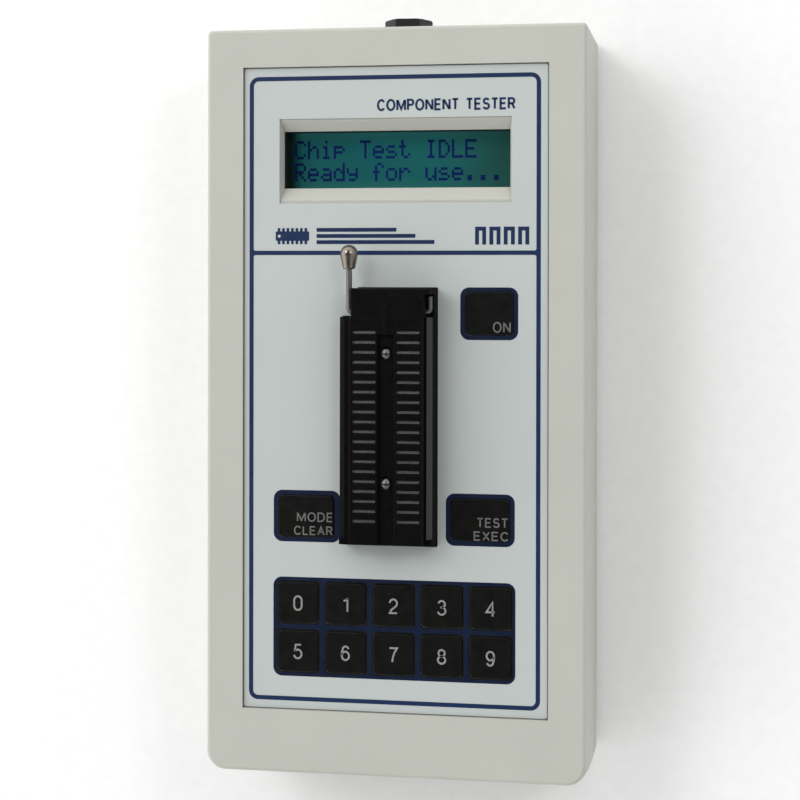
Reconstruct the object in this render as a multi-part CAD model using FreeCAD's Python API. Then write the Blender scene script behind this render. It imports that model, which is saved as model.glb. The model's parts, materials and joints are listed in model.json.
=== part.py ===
import FreeCAD, Part
import math
import os

# Handheld component tester, lying on its back: +Z out of the front panel, +Y towards the end
# with the adapter socket, +X to the right. Millimetres. Sub-parts are drawn about the middle of
# the case, and put() then moves them so that the origin is the middle of the overall length,
# socket included, at the height of the feet's undersides.

# Case
CASE_WIDTH = 100.0
CASE_LENGTH = 195.0
CASE_DEPTH = 41.0
FOOT_HEIGHT = 1.5
WALL = 2.5
REAR_SHELL_DEPTH = 9.2
TOP_CORNER_RADIUS = 1.2
BOTTOM_CORNER_STEPS = (0.0, 0.36, 0.6, 0.8, 1.0)
BOTTOM_CORNER_RADII = (1.0, 1.5, 2.4, 3.6, 5.2)
EDGE_RADIUS = 1.0
HALF_WIDTH = CASE_WIDTH / 2
HALF_LENGTH = CASE_LENGTH / 2
BACK_Z = FOOT_HEIGHT
PARTING_Z = BACK_Z + REAR_SHELL_DEPTH
FRONT_Z = BACK_Z + CASE_DEPTH
INNER_X = HALF_WIDTH - WALL
INNER_Y = HALF_LENGTH - WALL
REAR_FLOOR_Z = BACK_Z + WALL

# The gap between the shells is wider along the battery end
RELIEF_SPLIT_Y = -5.4
WIDE_GAP = 0.5
NARROW_GAP = 0.12
SHELL_GAP_DEPTH = 1.2

# Front panel: a printed sheet in a recess, and a switch layer in a pocket under it
RECESS_HALF_X = 40.3
RECESS_LOW_Y = -81.0
RECESS_HIGH_Y = 87.5
RECESS_DEPTH = 0.8
OVERLAY_THICKNESS = 0.5
LAYER_THICKNESS = 1.2
PANEL_Z = FRONT_Z - RECESS_DEPTH
SEAT_Z = PANEL_Z - OVERLAY_THICKNESS
LAYER_Z = SEAT_Z - LAYER_THICKNESS
CEILING_Z = LAYER_Z - 1.8
LAYER_HALF_X = 36.5
LAYER_LOW_Y = -76.5
LAYER_HIGH_Y = 34.5
SHEET_GAP = 0.3

# Keys
KEY_PITCH = 12.7
DIGIT_PAD = 10.7
DIGIT_ROWS_Y = (-52.85, -65.55)
KEY_BORDER = 1.3
KEY_CORNER = 1.2
KEY_TOP_Z = PANEL_Z + 0.3
KEY_THICKNESS = 1.0
KEY_TRAVEL = 0.4
KEY_GAP = 0.12
POCKET_GAP = 0.35
DOME_RADIUS = 4.25
DOME_FLAT_RADIUS = 2.6
DOME_HEIGHT = 0.3
DOME_GAP = 0.1
POCKET_FLOOR_Z = KEY_TOP_Z - KEY_THICKNESS - KEY_TRAVEL - DOME_GAP - DOME_HEIGHT
LARGE_KEYS = {
    "key_on": (17.4, 16.3, 32.5, 30.0),
    "key_mode_clear": (-32.0, -36.9, -14.6, -23.4),
    "key_test_exec": (13.7, -36.9, 31.6, -23.4),
}

# Tail of the switch layer, and its connector on the main board
TAIL_X = (8.5, 23.5)
TAIL_THICKNESS = 0.25
TAIL_TOP_Z = LAYER_Z + 0.55
TAIL_TURN_Y = -78.9
CONNECTOR_Y = (-73.0, -68.5)
CONNECTOR_Z = 31.5

# Display window, its bevel, and the display module behind it
WINDOW_Y = 63.3
WINDOW_HALF_X = 30.0
WINDOW_HALF_Y = 7.5
BEVEL_HALF_X = 30.6
BEVEL_LOW_Y = 51.8
BEVEL_HIGH_Y = 73.9
BEVEL_DEPTH = 2.8
DISPLAY_BOARD_Z = (21.3, 22.9)
DISPLAY_FRAME_TOP_Z = 31.7
DISPLAY_GLASS_Z = (29.1, 31.2)
DISPLAY_SPACER_X = 37.5
DISPLAY_SPACER_Y = 15.5

# Main board, parallel to the panel
BOARD_Z = (35.0, 36.6)
BOARD_HALF_X = 46.0
BOARD_LOW_Y = -77.0
BOARD_HIGH_Y = 84.0
BOARD_SCREWS = [(x, y) for x in (-42.5, 42.5) for y in (-70.0, 0.0, 68.0)]

# Test socket with twenty rows on each side
SOCKET_X = -0.4
SOCKET_SIDES_X = (-13.5, 11.35)
SOCKET_BLOCK_LEFT_X = -9.45
SOCKET_LOW_Y = -36.3
SOCKET_STEP_Y = 22.2
SOCKET_HIGH_Y = 29.65
SOCKET_CORNER = 1.7
SOCKET_TOP_Z = PANEL_Z + 10.3
SOCKET_LEDGE_Z = SOCKET_TOP_Z - 3.4
SOCKET_FOOT_Y = -37.2
SIDE_DRAFT = 0.4
LEDGE_CHAMFER = 1.25
LEDGE_END = 1.6
ROW_PITCH = 2.54
ROW_COUNT = 20
FIRST_ROW_Y = 18.37
SLOT_X = (2.6, 8.8)
SLOT_WIDTH = 0.95
COVER_HALF_X = 9.45
COVER_LOW_Y = -35.9
COVER_GAP = 0.1
COVER_SKIN = 0.6
CHANNEL_HALF_X = 2.2
CHANNEL_DEPTH = 1.2
CHANNEL_TOP_Y = 17.9
RIDGE_HALF_X = 0.55
RIDGE_HEIGHT = 0.3
COVER_SCREWS_Y = (12.92, -20.3)

# Lever of the test socket: bent wire with a cross shaft, an eccentric cam and a knob
LEVER_WIRE = 0.75
LEVER_Y = 23.6
LEVER_Z = PANEL_Z + 5.6
LEVER_X = (-10.7, 10.3)
LEVER_TILT = 2.0
LEVER_BEND = 0.95
LEVER_ARM = 12.35
LEVER_TOE = 3.9
TOE_NOTCH_X = 9.35
TOE_NOTCH_HIGH_Y = 28.1
SHAFT_CLEARANCE = 0.05
CAM_RADIUS = 1.35
CAM_OFFSET = 0.5
CAM_ANGLE = 52.5
CAM_HALF_X = 1.4
FORK_HALF_X = 1.5
FORK_GAP = 0.06
FORK_ARM = 0.9
KNOB_START = 10.95
KNOB_LENGTH = 6.25
KNOB_RADIUS = 2.3

# Adapter socket in the top end wall
JACK_X = 1.4
JACK_Z = 27.5
JACK_REACH = 3.45
JACK_BUSHING = 4.0
JACK_BORE = 2.75
JACK_BORE_DEPTH = 10.0
JACK_PIN = 1.05
JACK_PIN_ROOT = 1.4
JACK_NUT_FLATS = 11.0
JACK_NUT_HEIGHT = 3.3
JACK_NUT_TURN = 6.0

# Battery compartment with four AA cells, and the cover that slides off the bottom end
CELL_RADIUS = 7.15
CELL_BODY = 49.2
CELL_NUB = 1.2
CELL_NUB_RADIUS = 2.7
CELL_PITCH = 14.8
CELL_Z = 11.6
TUB_HALF_X = 30.0
TUB_Y = (-91.0, -34.0)
TUB_WALL = 1.5
TUB_CEILING_Z = 19.2
PLATE_THICKNESS = 0.5
CHANNEL_CEILING_Z = 3.9
COVER_PLATE_HALF_X = 33.0
COVER_TOP_Y = -33.2
COVER_THICKNESS = 2.2
COVER_LIP = 1.4

CASE_SCREWS = [(x, y) for x in (-43.0, 43.0) for y in (-89.5, 89.5)]
FEET = [(x, y) for x in (-41.5, 41.5) for y in (-76.0, 76.0)]

ORIGIN_SHIFT = FreeCAD.Vector(0, -JACK_REACH / 2, 0)
X_AXIS = FreeCAD.Vector(1, 0, 0)
Y_AXIS = FreeCAD.Vector(0, 1, 0)
Z_AXIS = FreeCAD.Vector(0, 0, 1)


def vec(x, y, z):
    return FreeCAD.Vector(x, y, z)


def box(low, high):
    """Block between two opposite corners."""
    return Part.makeBox(high[0] - low[0], high[1] - low[1], high[2] - low[2], vec(*low))


def rod(radius, start, end):
    """Cylinder from one point to another."""
    line = vec(*end) - vec(*start)
    return Part.makeCylinder(radius, line.Length, vec(*start), line)


def rounded_plate(low, high, radius):
    """Plate whose corners are rounded in plan."""
    x0, y0, z0 = low
    x1, y1, z1 = high
    plate = box(low, high)
    upright = [e for e in plate.Edges if abs(e.BoundBox.ZLength - (z1 - z0)) < 1e-6]
    return plate.makeFillet(radius, upright)


def extruded(corners, along):
    """Solid swept by a flat outline."""
    return Part.Face(Part.makePolygon(corners + corners[:1])).extrude(along)


def straight_edges_at(shape, x=None, y=None, z=None):
    """Edges that lie in every plane asked for."""
    found = []
    for edge in shape.Edges:
        b = edge.BoundBox
        spans = ((x, b.XMin, b.XMax), (y, b.YMin, b.YMax), (z, b.ZMin, b.ZMax))
        if all(at is None or (abs(lo - at) < 1e-6 and abs(hi - at) < 1e-6) for at, lo, hi in spans):
            found.append(edge)
    return found


def wire_through(points, share=0.45):
    """Straight runs joined by tangent arcs, and the arcs' radii."""
    points = [vec(*p) for p in points]
    edges = []
    radii = []
    start = points[0]
    for before, corner, after in zip(points, points[1:], points[2:]):
        back = (before - corner).normalize()
        ahead = (after - corner).normalize()
        half_turn = (math.pi - back.getAngle(ahead)) / 2
        reach = share * min((before - corner).Length, (after - corner).Length)
        radii.append(reach / math.tan(half_turn))
        arc_start = corner + back * reach
        arc_end = corner + ahead * reach
        middle = (back + ahead).normalize()
        to_centre = radii[-1] / math.cos(half_turn)
        arc_middle = corner + middle * (to_centre - radii[-1])
        edges.append(Part.LineSegment(start, arc_start).toShape())
        edges.append(Part.Arc(arc_start, arc_middle, arc_end).toShape())
        start = arc_end
    edges.append(Part.LineSegment(start, points[-1]).toShape())
    return Part.Wire(edges), radii


def tube(points, radius):
    """Round tube along straight runs and tangent arcs."""
    path, radii = wire_through(points)
    print("tightest bend", round(min(radii), 2), "for a radius of", radius)
    first = vec(*points[0])
    ring = Part.Wire([Part.makeCircle(radius, first, vec(*points[1]) - first)])
    return path.makePipeShell([ring], True, True)


def put(node, *shapes):
    """Writes a sub-part's solids to its own file."""
    solids = [solid for shape in shapes for solid in shape.Solids]
    whole = solids[0] if len(solids) == 1 else Part.makeCompound(solids)
    placed = whole.copy()
    placed.translate(ORIGIN_SHIFT)
    placed.exportStep(f"parts/{node}.step")
    print(node, len(solids), "valid" if whole.isValid() else "INVALID", round(whole.Volume, 2))


def socket_openings(gap, z0, z1):
    """Room for the test socket's housing and lever block, widened by a gap, between two heights."""
    x0, x1 = SOCKET_SIDES_X
    return [
        box((x0 - gap, SOCKET_FOOT_Y - gap, z0), (x1 + gap, SOCKET_STEP_Y + gap, z1)),
        box((SOCKET_BLOCK_LEFT_X - gap, SOCKET_LOW_Y, z0), (x1 + gap, SOCKET_HIGH_Y + gap, z1)),
    ]


def row_positions():
    """Middles of the test socket's slots, as (side, y)."""
    return [(side, FIRST_ROW_Y - ROW_PITCH * row) for side in (-1, 1) for row in range(ROW_COUNT)]


def side_box(side, x0, x1, y0, y1, z0, z1):
    """Block beside the test socket's middle line, on the left or on the right."""
    near, far = sorted((SOCKET_X + side * x0, SOCKET_X + side * x1))
    return box((near, y0, z0), (far, y1, z1))


def key_outlines():
    """Each key's pad in plan: x0, y0, x1, y1."""
    outlines = {}
    for node, (x0, y0, x1, y1) in LARGE_KEYS.items():
        outlines[node] = (x0 + KEY_BORDER, y0 + KEY_BORDER, x1 - KEY_BORDER, y1 - KEY_BORDER)
    half = DIGIT_PAD / 2
    for digit in range(10):
        x = KEY_PITCH * (digit % 5 - 2)
        y = DIGIT_ROWS_Y[digit // 5]
        outlines[f"key_{digit}"] = (x - half, y - half, x + half, y + half)
    return outlines


def key_block(outline, gap, z0, z1):
    """A key's outline, widened by a gap, between two heights."""
    x0, y0, x1, y1 = outline
    return rounded_plate((x0 - gap, y0 - gap, z0), (x1 + gap, y1 + gap, z1), KEY_CORNER + gap)


def window_frustum():
    """Space of the display's bevel, from the panel's seat to the window."""
    slope = (PANEL_Z - SEAT_Z) / BEVEL_DEPTH
    window_low = WINDOW_Y - WINDOW_HALF_Y
    window_high = WINDOW_Y + WINDOW_HALF_Y
    half_x = BEVEL_HALF_X - slope * (BEVEL_HALF_X - WINDOW_HALF_X)
    low = BEVEL_LOW_Y + slope * (window_low - BEVEL_LOW_Y)
    high = BEVEL_HIGH_Y - slope * (BEVEL_HIGH_Y - window_high)
    inner_z = PANEL_Z - BEVEL_DEPTH
    rings = []
    for hx, y0, y1, z in ((half_x, low, high, SEAT_Z), (WINDOW_HALF_X, window_low, window_high, inner_z)):
        ring = [vec(-hx, y0, z), vec(hx, y0, z), vec(hx, y1, z), vec(-hx, y1, z)]
        rings.append(Part.makePolygon(ring + ring[:1]))
    return Part.makeLoft(rings, True, True)


def make_front_shell():
    # the bottom corners' radius grows from the parting line, faster and faster towards the front
    heights = [PARTING_Z + (FRONT_Z - PARTING_Z) * step for step in BOTTOM_CORNER_STEPS]
    layers = []
    for index in range(len(heights) - 1):
        layer = box((-HALF_WIDTH, -HALF_LENGTH, heights[index]), (HALF_WIDTH, HALF_LENGTH, heights[index + 1]))
        r0, r1 = BOTTOM_CORNER_RADII[index:index + 2]
        for x in (-HALF_WIDTH, HALF_WIDTH):
            layer = layer.makeFillet(TOP_CORNER_RADIUS, [straight_edges_at(layer, x=x, y=HALF_LENGTH)[0]])
        for x in (-HALF_WIDTH, HALF_WIDTH):
            layer = layer.makeFillet(r0, r1, [straight_edges_at(layer, x=x, y=-HALF_LENGTH)[0]])
        layers.append(layer)
    layers[-1] = layers[-1].makeFillet(EDGE_RADIUS, straight_edges_at(layers[-1], z=FRONT_Z))
    shell = layers[0].multiFuse(layers[1:]).removeSplitter()
    shell = shell.cut(box((-INNER_X, -INNER_Y, PARTING_Z - 1), (INNER_X, INNER_Y, CEILING_Z)))

    posts = []
    pilots = []
    for x, y in CASE_SCREWS:
        posts.append(rod(3.75, (x, y, PARTING_Z + 1.9), (x, y, CEILING_Z + 0.1)))
        pilots.append(rod(1.45, (x, y, PARTING_Z), (x, y, 24.0)))
    for x, y in BOARD_SCREWS:
        posts.append(rod(3.0, (x, y, BOARD_Z[1]), (x, y, CEILING_Z + 0.1)))
        pilots.append(rod(1.2, (x, y, BOARD_Z[1] - 1), (x, y, 40.5)))
    shell = shell.fuse(posts)

    window_low = (-WINDOW_HALF_X, WINDOW_Y - WINDOW_HALF_Y, CEILING_Z - 1)
    window_high = (WINDOW_HALF_X, WINDOW_Y + WINDOW_HALF_Y, SEAT_Z)
    gap = 0.25
    cuts = pilots + [
        box((-RECESS_HALF_X, RECESS_LOW_Y, SEAT_Z), (RECESS_HALF_X, RECESS_HIGH_Y, FRONT_Z + 1)),
        box((-LAYER_HALF_X, LAYER_LOW_Y, LAYER_Z), (LAYER_HALF_X, LAYER_HIGH_Y, SEAT_Z + 0.1)),
        window_frustum(),
        box(window_low, window_high),
        box((TAIL_X[0] - gap, TAIL_TURN_Y - gap, LAYER_Z),
            (TAIL_X[1] + gap, LAYER_LOW_Y + 0.1, SEAT_Z + 0.1)),
        box((TAIL_X[0] - gap, TAIL_TURN_Y - gap, CEILING_Z - 1),
            (TAIL_X[1] + gap, TAIL_TURN_Y + 0.9, LAYER_Z + 0.1)),
        rod(JACK_BUSHING, (JACK_X, INNER_Y - 1, JACK_Z), (JACK_X, HALF_LENGTH + 1, JACK_Z)),
    ]
    cuts += socket_openings(gap, CEILING_Z - 1, SEAT_Z + 1)
    put("front_shell", shell.cut(cuts))


def make_rear_shell():
    shell = box((-HALF_WIDTH, -HALF_LENGTH, BACK_Z), (HALF_WIDTH, HALF_LENGTH, PARTING_Z))
    corners = straight_edges_at(shell, x=-HALF_WIDTH, y=HALF_LENGTH)
    corners += straight_edges_at(shell, x=HALF_WIDTH, y=HALF_LENGTH)
    shell = shell.makeFillet(TOP_CORNER_RADIUS, corners)
    corners = straight_edges_at(shell, x=-HALF_WIDTH, y=-HALF_LENGTH)
    corners += straight_edges_at(shell, x=HALF_WIDTH, y=-HALF_LENGTH)
    shell = shell.makeFillet(BOTTOM_CORNER_RADII[0], corners)
    shell = shell.makeFillet(EDGE_RADIUS * 0.95, straight_edges_at(shell, z=BACK_Z))
    shell = shell.cut(box((-INNER_X, -INNER_Y, REAR_FLOOR_Z), (INNER_X, INNER_Y, PARTING_Z + 1)))

    # the gap towards the front shell, wide at the battery end and narrow at the other
    inset = SHELL_GAP_DEPTH
    for gap, y0, y1 in ((WIDE_GAP, -HALF_LENGTH - 1, RELIEF_SPLIT_Y),
                        (NARROW_GAP, RELIEF_SPLIT_Y, HALF_LENGTH + 1)):
        ring = box((-HALF_WIDTH - 1, y0, PARTING_Z - gap), (HALF_WIDTH + 1, y1, PARTING_Z + 1))
        keep = box((-HALF_WIDTH + inset, -HALF_LENGTH + inset, 0),
                   (HALF_WIDTH - inset, HALF_LENGTH - inset, FRONT_Z))
        shell = shell.cut(ring.cut(keep))

    # a lip that stands inside the front shell
    lip_gap = 0.15
    lip = box((-INNER_X - 0.5, -INNER_Y - 0.5, PARTING_Z - 1.7), (INNER_X + 0.5, INNER_Y + 0.5, PARTING_Z))
    lip = lip.fuse(box((-INNER_X + lip_gap, -INNER_Y + lip_gap, PARTING_Z - 1),
                       (INNER_X - lip_gap, INNER_Y - lip_gap, PARTING_Z + 1.5)))
    lip = lip.cut(box((-INNER_X + 1.35, -INNER_Y + 1.35, 0), (INNER_X - 1.35, INNER_Y - 1.35, FRONT_Z)))

    tub_low = (-TUB_HALF_X - TUB_WALL, TUB_Y[0] - TUB_WALL, REAR_FLOOR_Z - 0.1)
    tub_high = (TUB_HALF_X + TUB_WALL, TUB_Y[1] + TUB_WALL, TUB_CEILING_Z + TUB_WALL)
    pad = box((-37.0, -INNER_Y - 0.5, REAR_FLOOR_Z - 0.1), (37.0, -31.0, CHANNEL_CEILING_Z + 1.5))
    bosses = [rod(4.0, (x, y, BACK_Z + 1), (x, y, PARTING_Z + 1.7)) for x, y in CASE_SCREWS]
    shell = shell.fuse([lip, box(tub_low, tub_high), pad] + bosses)

    lip_half_x = COVER_PLATE_HALF_X + COVER_LIP + 0.3
    cuts = [
        box((-TUB_HALF_X, TUB_Y[0], BACK_Z - 1), (TUB_HALF_X, TUB_Y[1], TUB_CEILING_Z)),
        box((-COVER_PLATE_HALF_X - 0.2, -HALF_LENGTH - 1, BACK_Z - 1),
            (COVER_PLATE_HALF_X + 0.2, COVER_TOP_Y + 0.2, CHANNEL_CEILING_Z)),
        box((-lip_half_x, -HALF_LENGTH - 1, BACK_Z + 1.2),
            (lip_half_x, COVER_TOP_Y + 0.2, CHANNEL_CEILING_Z)),
    ]
    for x, y in CASE_SCREWS:
        cuts.append(rod(1.6, (x, y, BACK_Z - 1), (x, y, PARTING_Z + 3)))
        cuts.append(rod(3.1, (x, y, BACK_Z - 1), (x, y, BACK_Z + 5.5)))
    for x in (-1.5 * CELL_PITCH, 1.5 * CELL_PITCH):
        cuts.append(box((x - 1.6, TUB_Y[0] - TUB_WALL - 1, 15.4), (x + 1.6, TUB_Y[0] + 0.1, 17.6)))
    put("rear_shell", shell.cut(cuts))


def make_battery_cover():
    top_z = BACK_Z + COVER_THICKNESS
    plate = box((-COVER_PLATE_HALF_X, -HALF_LENGTH, BACK_Z), (COVER_PLATE_HALF_X, COVER_TOP_Y, top_z))
    plate = plate.makeFillet(EDGE_RADIUS * 0.95, straight_edges_at(plate, y=-HALF_LENGTH, z=BACK_Z))
    lip_half_x = COVER_PLATE_HALF_X + COVER_LIP
    plate = plate.fuse(box((-lip_half_x, -HALF_LENGTH + 1, top_z - 0.8), (lip_half_x, COVER_TOP_Y, top_z)))
    grooves = []
    for index in range(6):
        y = -90.0 + 2.2 * index
        grooves.append(rounded_plate((-9.0, y, BACK_Z - 1), (9.0, y + 1.1, BACK_Z + 0.5), 0.5))
    put("battery_cover", plate.cut(grooves).removeSplitter())


def make_feet():
    feet = []
    for x, y in FEET:
        foot = rod(5.0, (x, y, 0), (x, y, FOOT_HEIGHT))
        feet.append(foot.makeFillet(0.5, straight_edges_at(foot, z=0)))
    put("rubber_feet", *feet)


def cross_head_screw(x, y, head_z, head_radius, head_height, shank_radius, tip_z):
    """Screw that goes up from a head with a cross recess."""
    screw = rod(head_radius, (x, y, head_z), (x, y, head_z + head_height))
    screw = screw.makeFillet(head_height * 0.3, straight_edges_at(screw, z=head_z))
    screw = screw.fuse(rod(shank_radius, (x, y, head_z + head_height - 0.1), (x, y, tip_z)))
    arm = head_radius * 0.6
    half = head_radius * 0.14
    depth = head_height * 0.55
    cross = box((x - arm, y - half, head_z - 1), (x + arm, y + half, head_z + depth))
    cross = cross.fuse(box((x - half, y - arm, head_z - 1), (x + half, y + arm, head_z + depth)))
    return screw.cut(cross)


def make_case_screws():
    head_z = BACK_Z + 5.5 - 2.0
    screws = [cross_head_screw(x, y, head_z, 2.7, 2.0, 1.45, 22.0) for x, y in CASE_SCREWS]
    put("case_screws", *screws)


def make_overlay(outlines):
    low = (-RECESS_HALF_X + SHEET_GAP, RECESS_LOW_Y + SHEET_GAP, SEAT_Z)
    high = (RECESS_HALF_X - SHEET_GAP, RECESS_HIGH_Y - SHEET_GAP, PANEL_Z)
    sheet = rounded_plate(low, high, 0.6)
    cuts = [key_block(outline, KEY_GAP, SEAT_Z - 1, PANEL_Z + 1) for outline in outlines.values()]
    cuts.append(box((-BEVEL_HALF_X, BEVEL_LOW_Y, SEAT_Z - 1), (BEVEL_HALF_X, BEVEL_HIGH_Y, PANEL_Z + 1)))
    cuts += socket_openings(0.2, SEAT_Z - 1, PANEL_Z + 1)
    put("panel_overlay", sheet.cut(cuts))


def make_keypad_layer(outlines):
    low = (-LAYER_HALF_X + SHEET_GAP, LAYER_LOW_Y + SHEET_GAP, LAYER_Z)
    high = (LAYER_HALF_X - SHEET_GAP, LAYER_HIGH_Y - SHEET_GAP, SEAT_Z)
    cuts = [key_block(outline, POCKET_GAP, POCKET_FLOOR_Z, SEAT_Z + 1) for outline in outlines.values()]
    cuts += socket_openings(0.3, LAYER_Z - 1, SEAT_Z + 1)
    put("keypad_layer", rounded_plate(low, high, 1.0).cut(cuts))


def make_domes(outlines):
    domes = []
    for x0, y0, x1, y1 in outlines.values():
        middle = vec((x0 + x1) / 2, (y0 + y1) / 2, POCKET_FLOOR_Z)
        domes.append(Part.makeCone(DOME_RADIUS, DOME_FLAT_RADIUS, DOME_HEIGHT, middle))
    put("dome_contacts", *domes)


def make_keys(outlines):
    for node, outline in outlines.items():
        pad = key_block(outline, 0, KEY_TOP_Z - KEY_THICKNESS, KEY_TOP_Z)
        put(node, pad.makeFillet(0.25, straight_edges_at(pad, z=KEY_TOP_Z)))


def make_keypad_tail():
    x0, x1 = TAIL_X
    low_z = 33.2
    turn = TAIL_TURN_Y
    sheet = box((x0, turn, TAIL_TOP_Z - TAIL_THICKNESS), (x1, LAYER_LOW_Y + SHEET_GAP, TAIL_TOP_Z))
    sheet = sheet.fuse(box((x0, turn, low_z), (x1, turn + TAIL_THICKNESS, TAIL_TOP_Z)))
    sheet = sheet.fuse(box((x0, turn, low_z), (x1, CONNECTOR_Y[0], low_z + TAIL_THICKNESS)))
    put("keypad_tail", sheet.removeSplitter())
    body = box((x0 - 1.5, CONNECTOR_Y[0], CONNECTOR_Z), (x1 + 1.5, CONNECTOR_Y[1], BOARD_Z[0]))
    put("keypad_connector", body)


def make_display():
    low_y = WINDOW_Y - 12.6
    high_y = WINDOW_Y + 12.6
    board_top = DISPLAY_BOARD_Z[1]
    shroud = box((-33.5, WINDOW_Y - 10.5, DISPLAY_FRAME_TOP_Z), (33.5, WINDOW_Y + 10.5, CEILING_Z))
    hole = box((-WINDOW_HALF_X - 0.1, WINDOW_Y - WINDOW_HALF_Y - 0.1, DISPLAY_FRAME_TOP_Z - 1),
               (WINDOW_HALF_X + 0.1, WINDOW_Y + WINDOW_HALF_Y + 0.1, CEILING_Z + 1))
    put("display_shroud", shroud.cut(hole))

    frame = box((-35.6, low_y, board_top), (35.6, high_y, DISPLAY_FRAME_TOP_Z))
    frame = frame.makeFillet(0.5, straight_edges_at(frame, z=DISPLAY_FRAME_TOP_Z))
    frame = frame.cut(box((-35.1, low_y + 0.5, board_top - 1), (35.1, high_y - 0.5, DISPLAY_GLASS_Z[1])))
    window_top = DISPLAY_FRAME_TOP_Z + 1
    frame = frame.cut(box((-32.2, WINDOW_Y - 8.2, board_top), (32.2, WINDOW_Y + 8.2, window_top)))
    put("lcd_frame", frame)
    glass_low, glass_high = DISPLAY_GLASS_Z
    put("lcd_glass", box((-34.8, WINDOW_Y - 11.8, glass_low), (34.8, WINDOW_Y + 11.8, glass_high)))
    put("lcd_backlight", box((-34.8, WINDOW_Y - 11.8, board_top), (34.8, WINDOW_Y + 11.8, glass_low)))

    board = box((-40.0, WINDOW_Y - 18.0, DISPLAY_BOARD_Z[0]), (40.0, WINDOW_Y + 18.0, board_top))
    places = [(x, WINDOW_Y + y) for x in (-DISPLAY_SPACER_X, DISPLAY_SPACER_X)
              for y in (-DISPLAY_SPACER_Y, DISPLAY_SPACER_Y)]
    holes = [rod(1.2, (x, y, 0), (x, y, FRONT_Z)) for x, y in places]
    header_y = WINDOW_Y - 16.0
    pins = []
    pin_holes = []
    for index in range(16):
        x = ROW_PITCH * (index - 7.5)
        pins.append(box((x - 0.32, header_y - 0.32, 20.5), (x + 0.32, header_y + 0.32, 37.6)))
        pin_holes.append(rod(0.5, (x, header_y, 0), (x, header_y, FRONT_Z)))
    strip = box((-20.4, header_y - 1.25, board_top), (20.4, header_y + 1.25, board_top + 2.5))
    put("lcd_board", board.cut(holes + pin_holes))
    put("lcd_header", strip.fuse(pins))
    spacers = []
    screws = []
    nuts = []
    for x, y in places:
        spacer = rod(2.5, (x, y, board_top), (x, y, BOARD_Z[0]))
        spacers.append(spacer.cut(rod(1.25, (x, y, 0), (x, y, FRONT_Z))))
        screws.append(cross_head_screw(x, y, DISPLAY_BOARD_Z[0] - 1.5, 2.2, 1.5, 1.15, 38.0))
        nuts.append(hex_nut(vec(x, y, BOARD_Z[1]), Z_AXIS, 4.5, 1.2, 1.15, 0))
    put("lcd_spacers", *spacers)
    put("lcd_screws", *screws)
    put("lcd_nuts", *nuts)
    return holes + pin_holes


def hex_nut(base, axis, flats, height, bore, turn):
    """Nut with its bearing face at base and its bore along axis."""
    corner = flats / math.sqrt(3)
    side = axis.cross(X_AXIS if abs(axis.x) < 0.9 else Y_AXIS).normalize()
    up = axis.cross(side)
    ring = []
    for index in range(6):
        angle = math.radians(60 * index + 30 + turn)
        ring.append(base + side * (corner * math.cos(angle)) + up * (corner * math.sin(angle)))
    nut = extruded(ring, axis * height)
    cone = Part.makeCone(corner + height * 0.9, corner - height * 0.1, height, base, axis)
    return nut.common(cone).cut(Part.makeCylinder(bore, height * 3, base - axis * height, axis))


def make_main_board(extra_holes):
    board = box((-BOARD_HALF_X, BOARD_LOW_Y, BOARD_Z[0]), (BOARD_HALF_X, BOARD_HIGH_Y, BOARD_Z[1]))
    cuts = list(extra_holes)
    cuts.append(box((-34.0, WINDOW_Y - 11.0, BOARD_Z[0] - 1), (34.0, WINDOW_Y + 11.0, BOARD_Z[1] + 1)))
    cuts += [rod(1.4, (x, y, BOARD_Z[0] - 1), (x, y, BOARD_Z[1] + 1)) for x, y in BOARD_SCREWS]
    for side, y in row_positions():
        x = SOCKET_X + side * (SLOT_X[0] + SLOT_X[1]) / 2
        cuts.append(rod(0.45, (x, y, BOARD_Z[0] - 1), (x, y, BOARD_Z[1] + 1)))
    put("main_board", board.cut(cuts))
    screws = [cross_head_screw(x, y, BOARD_Z[0] - 1.6, 2.3, 1.6, 1.2, 40.4) for x, y in BOARD_SCREWS]
    put("board_screws", *screws)


def chip(x, y, width, length, pins_per_side):
    """Dual in-line chip under the main board, its length along Y."""
    top_z = BOARD_Z[0]
    body = box((x - width / 2, y - length / 2, top_z - 4.2), (x + width / 2, y + length / 2, top_z - 0.6))
    legs = []
    for side in (-1, 1):
        outer = x + side * width / 2
        near, far = sorted((outer - side * 0.1, outer + side * 0.7))
        for index in range(pins_per_side):
            leg_y = y + ROW_PITCH * (index - (pins_per_side - 1) / 2)
            legs.append(box((near, leg_y - 0.4, top_z - 2.6), (far, leg_y + 0.4, top_z)))
    return body.fuse(legs)


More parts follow.
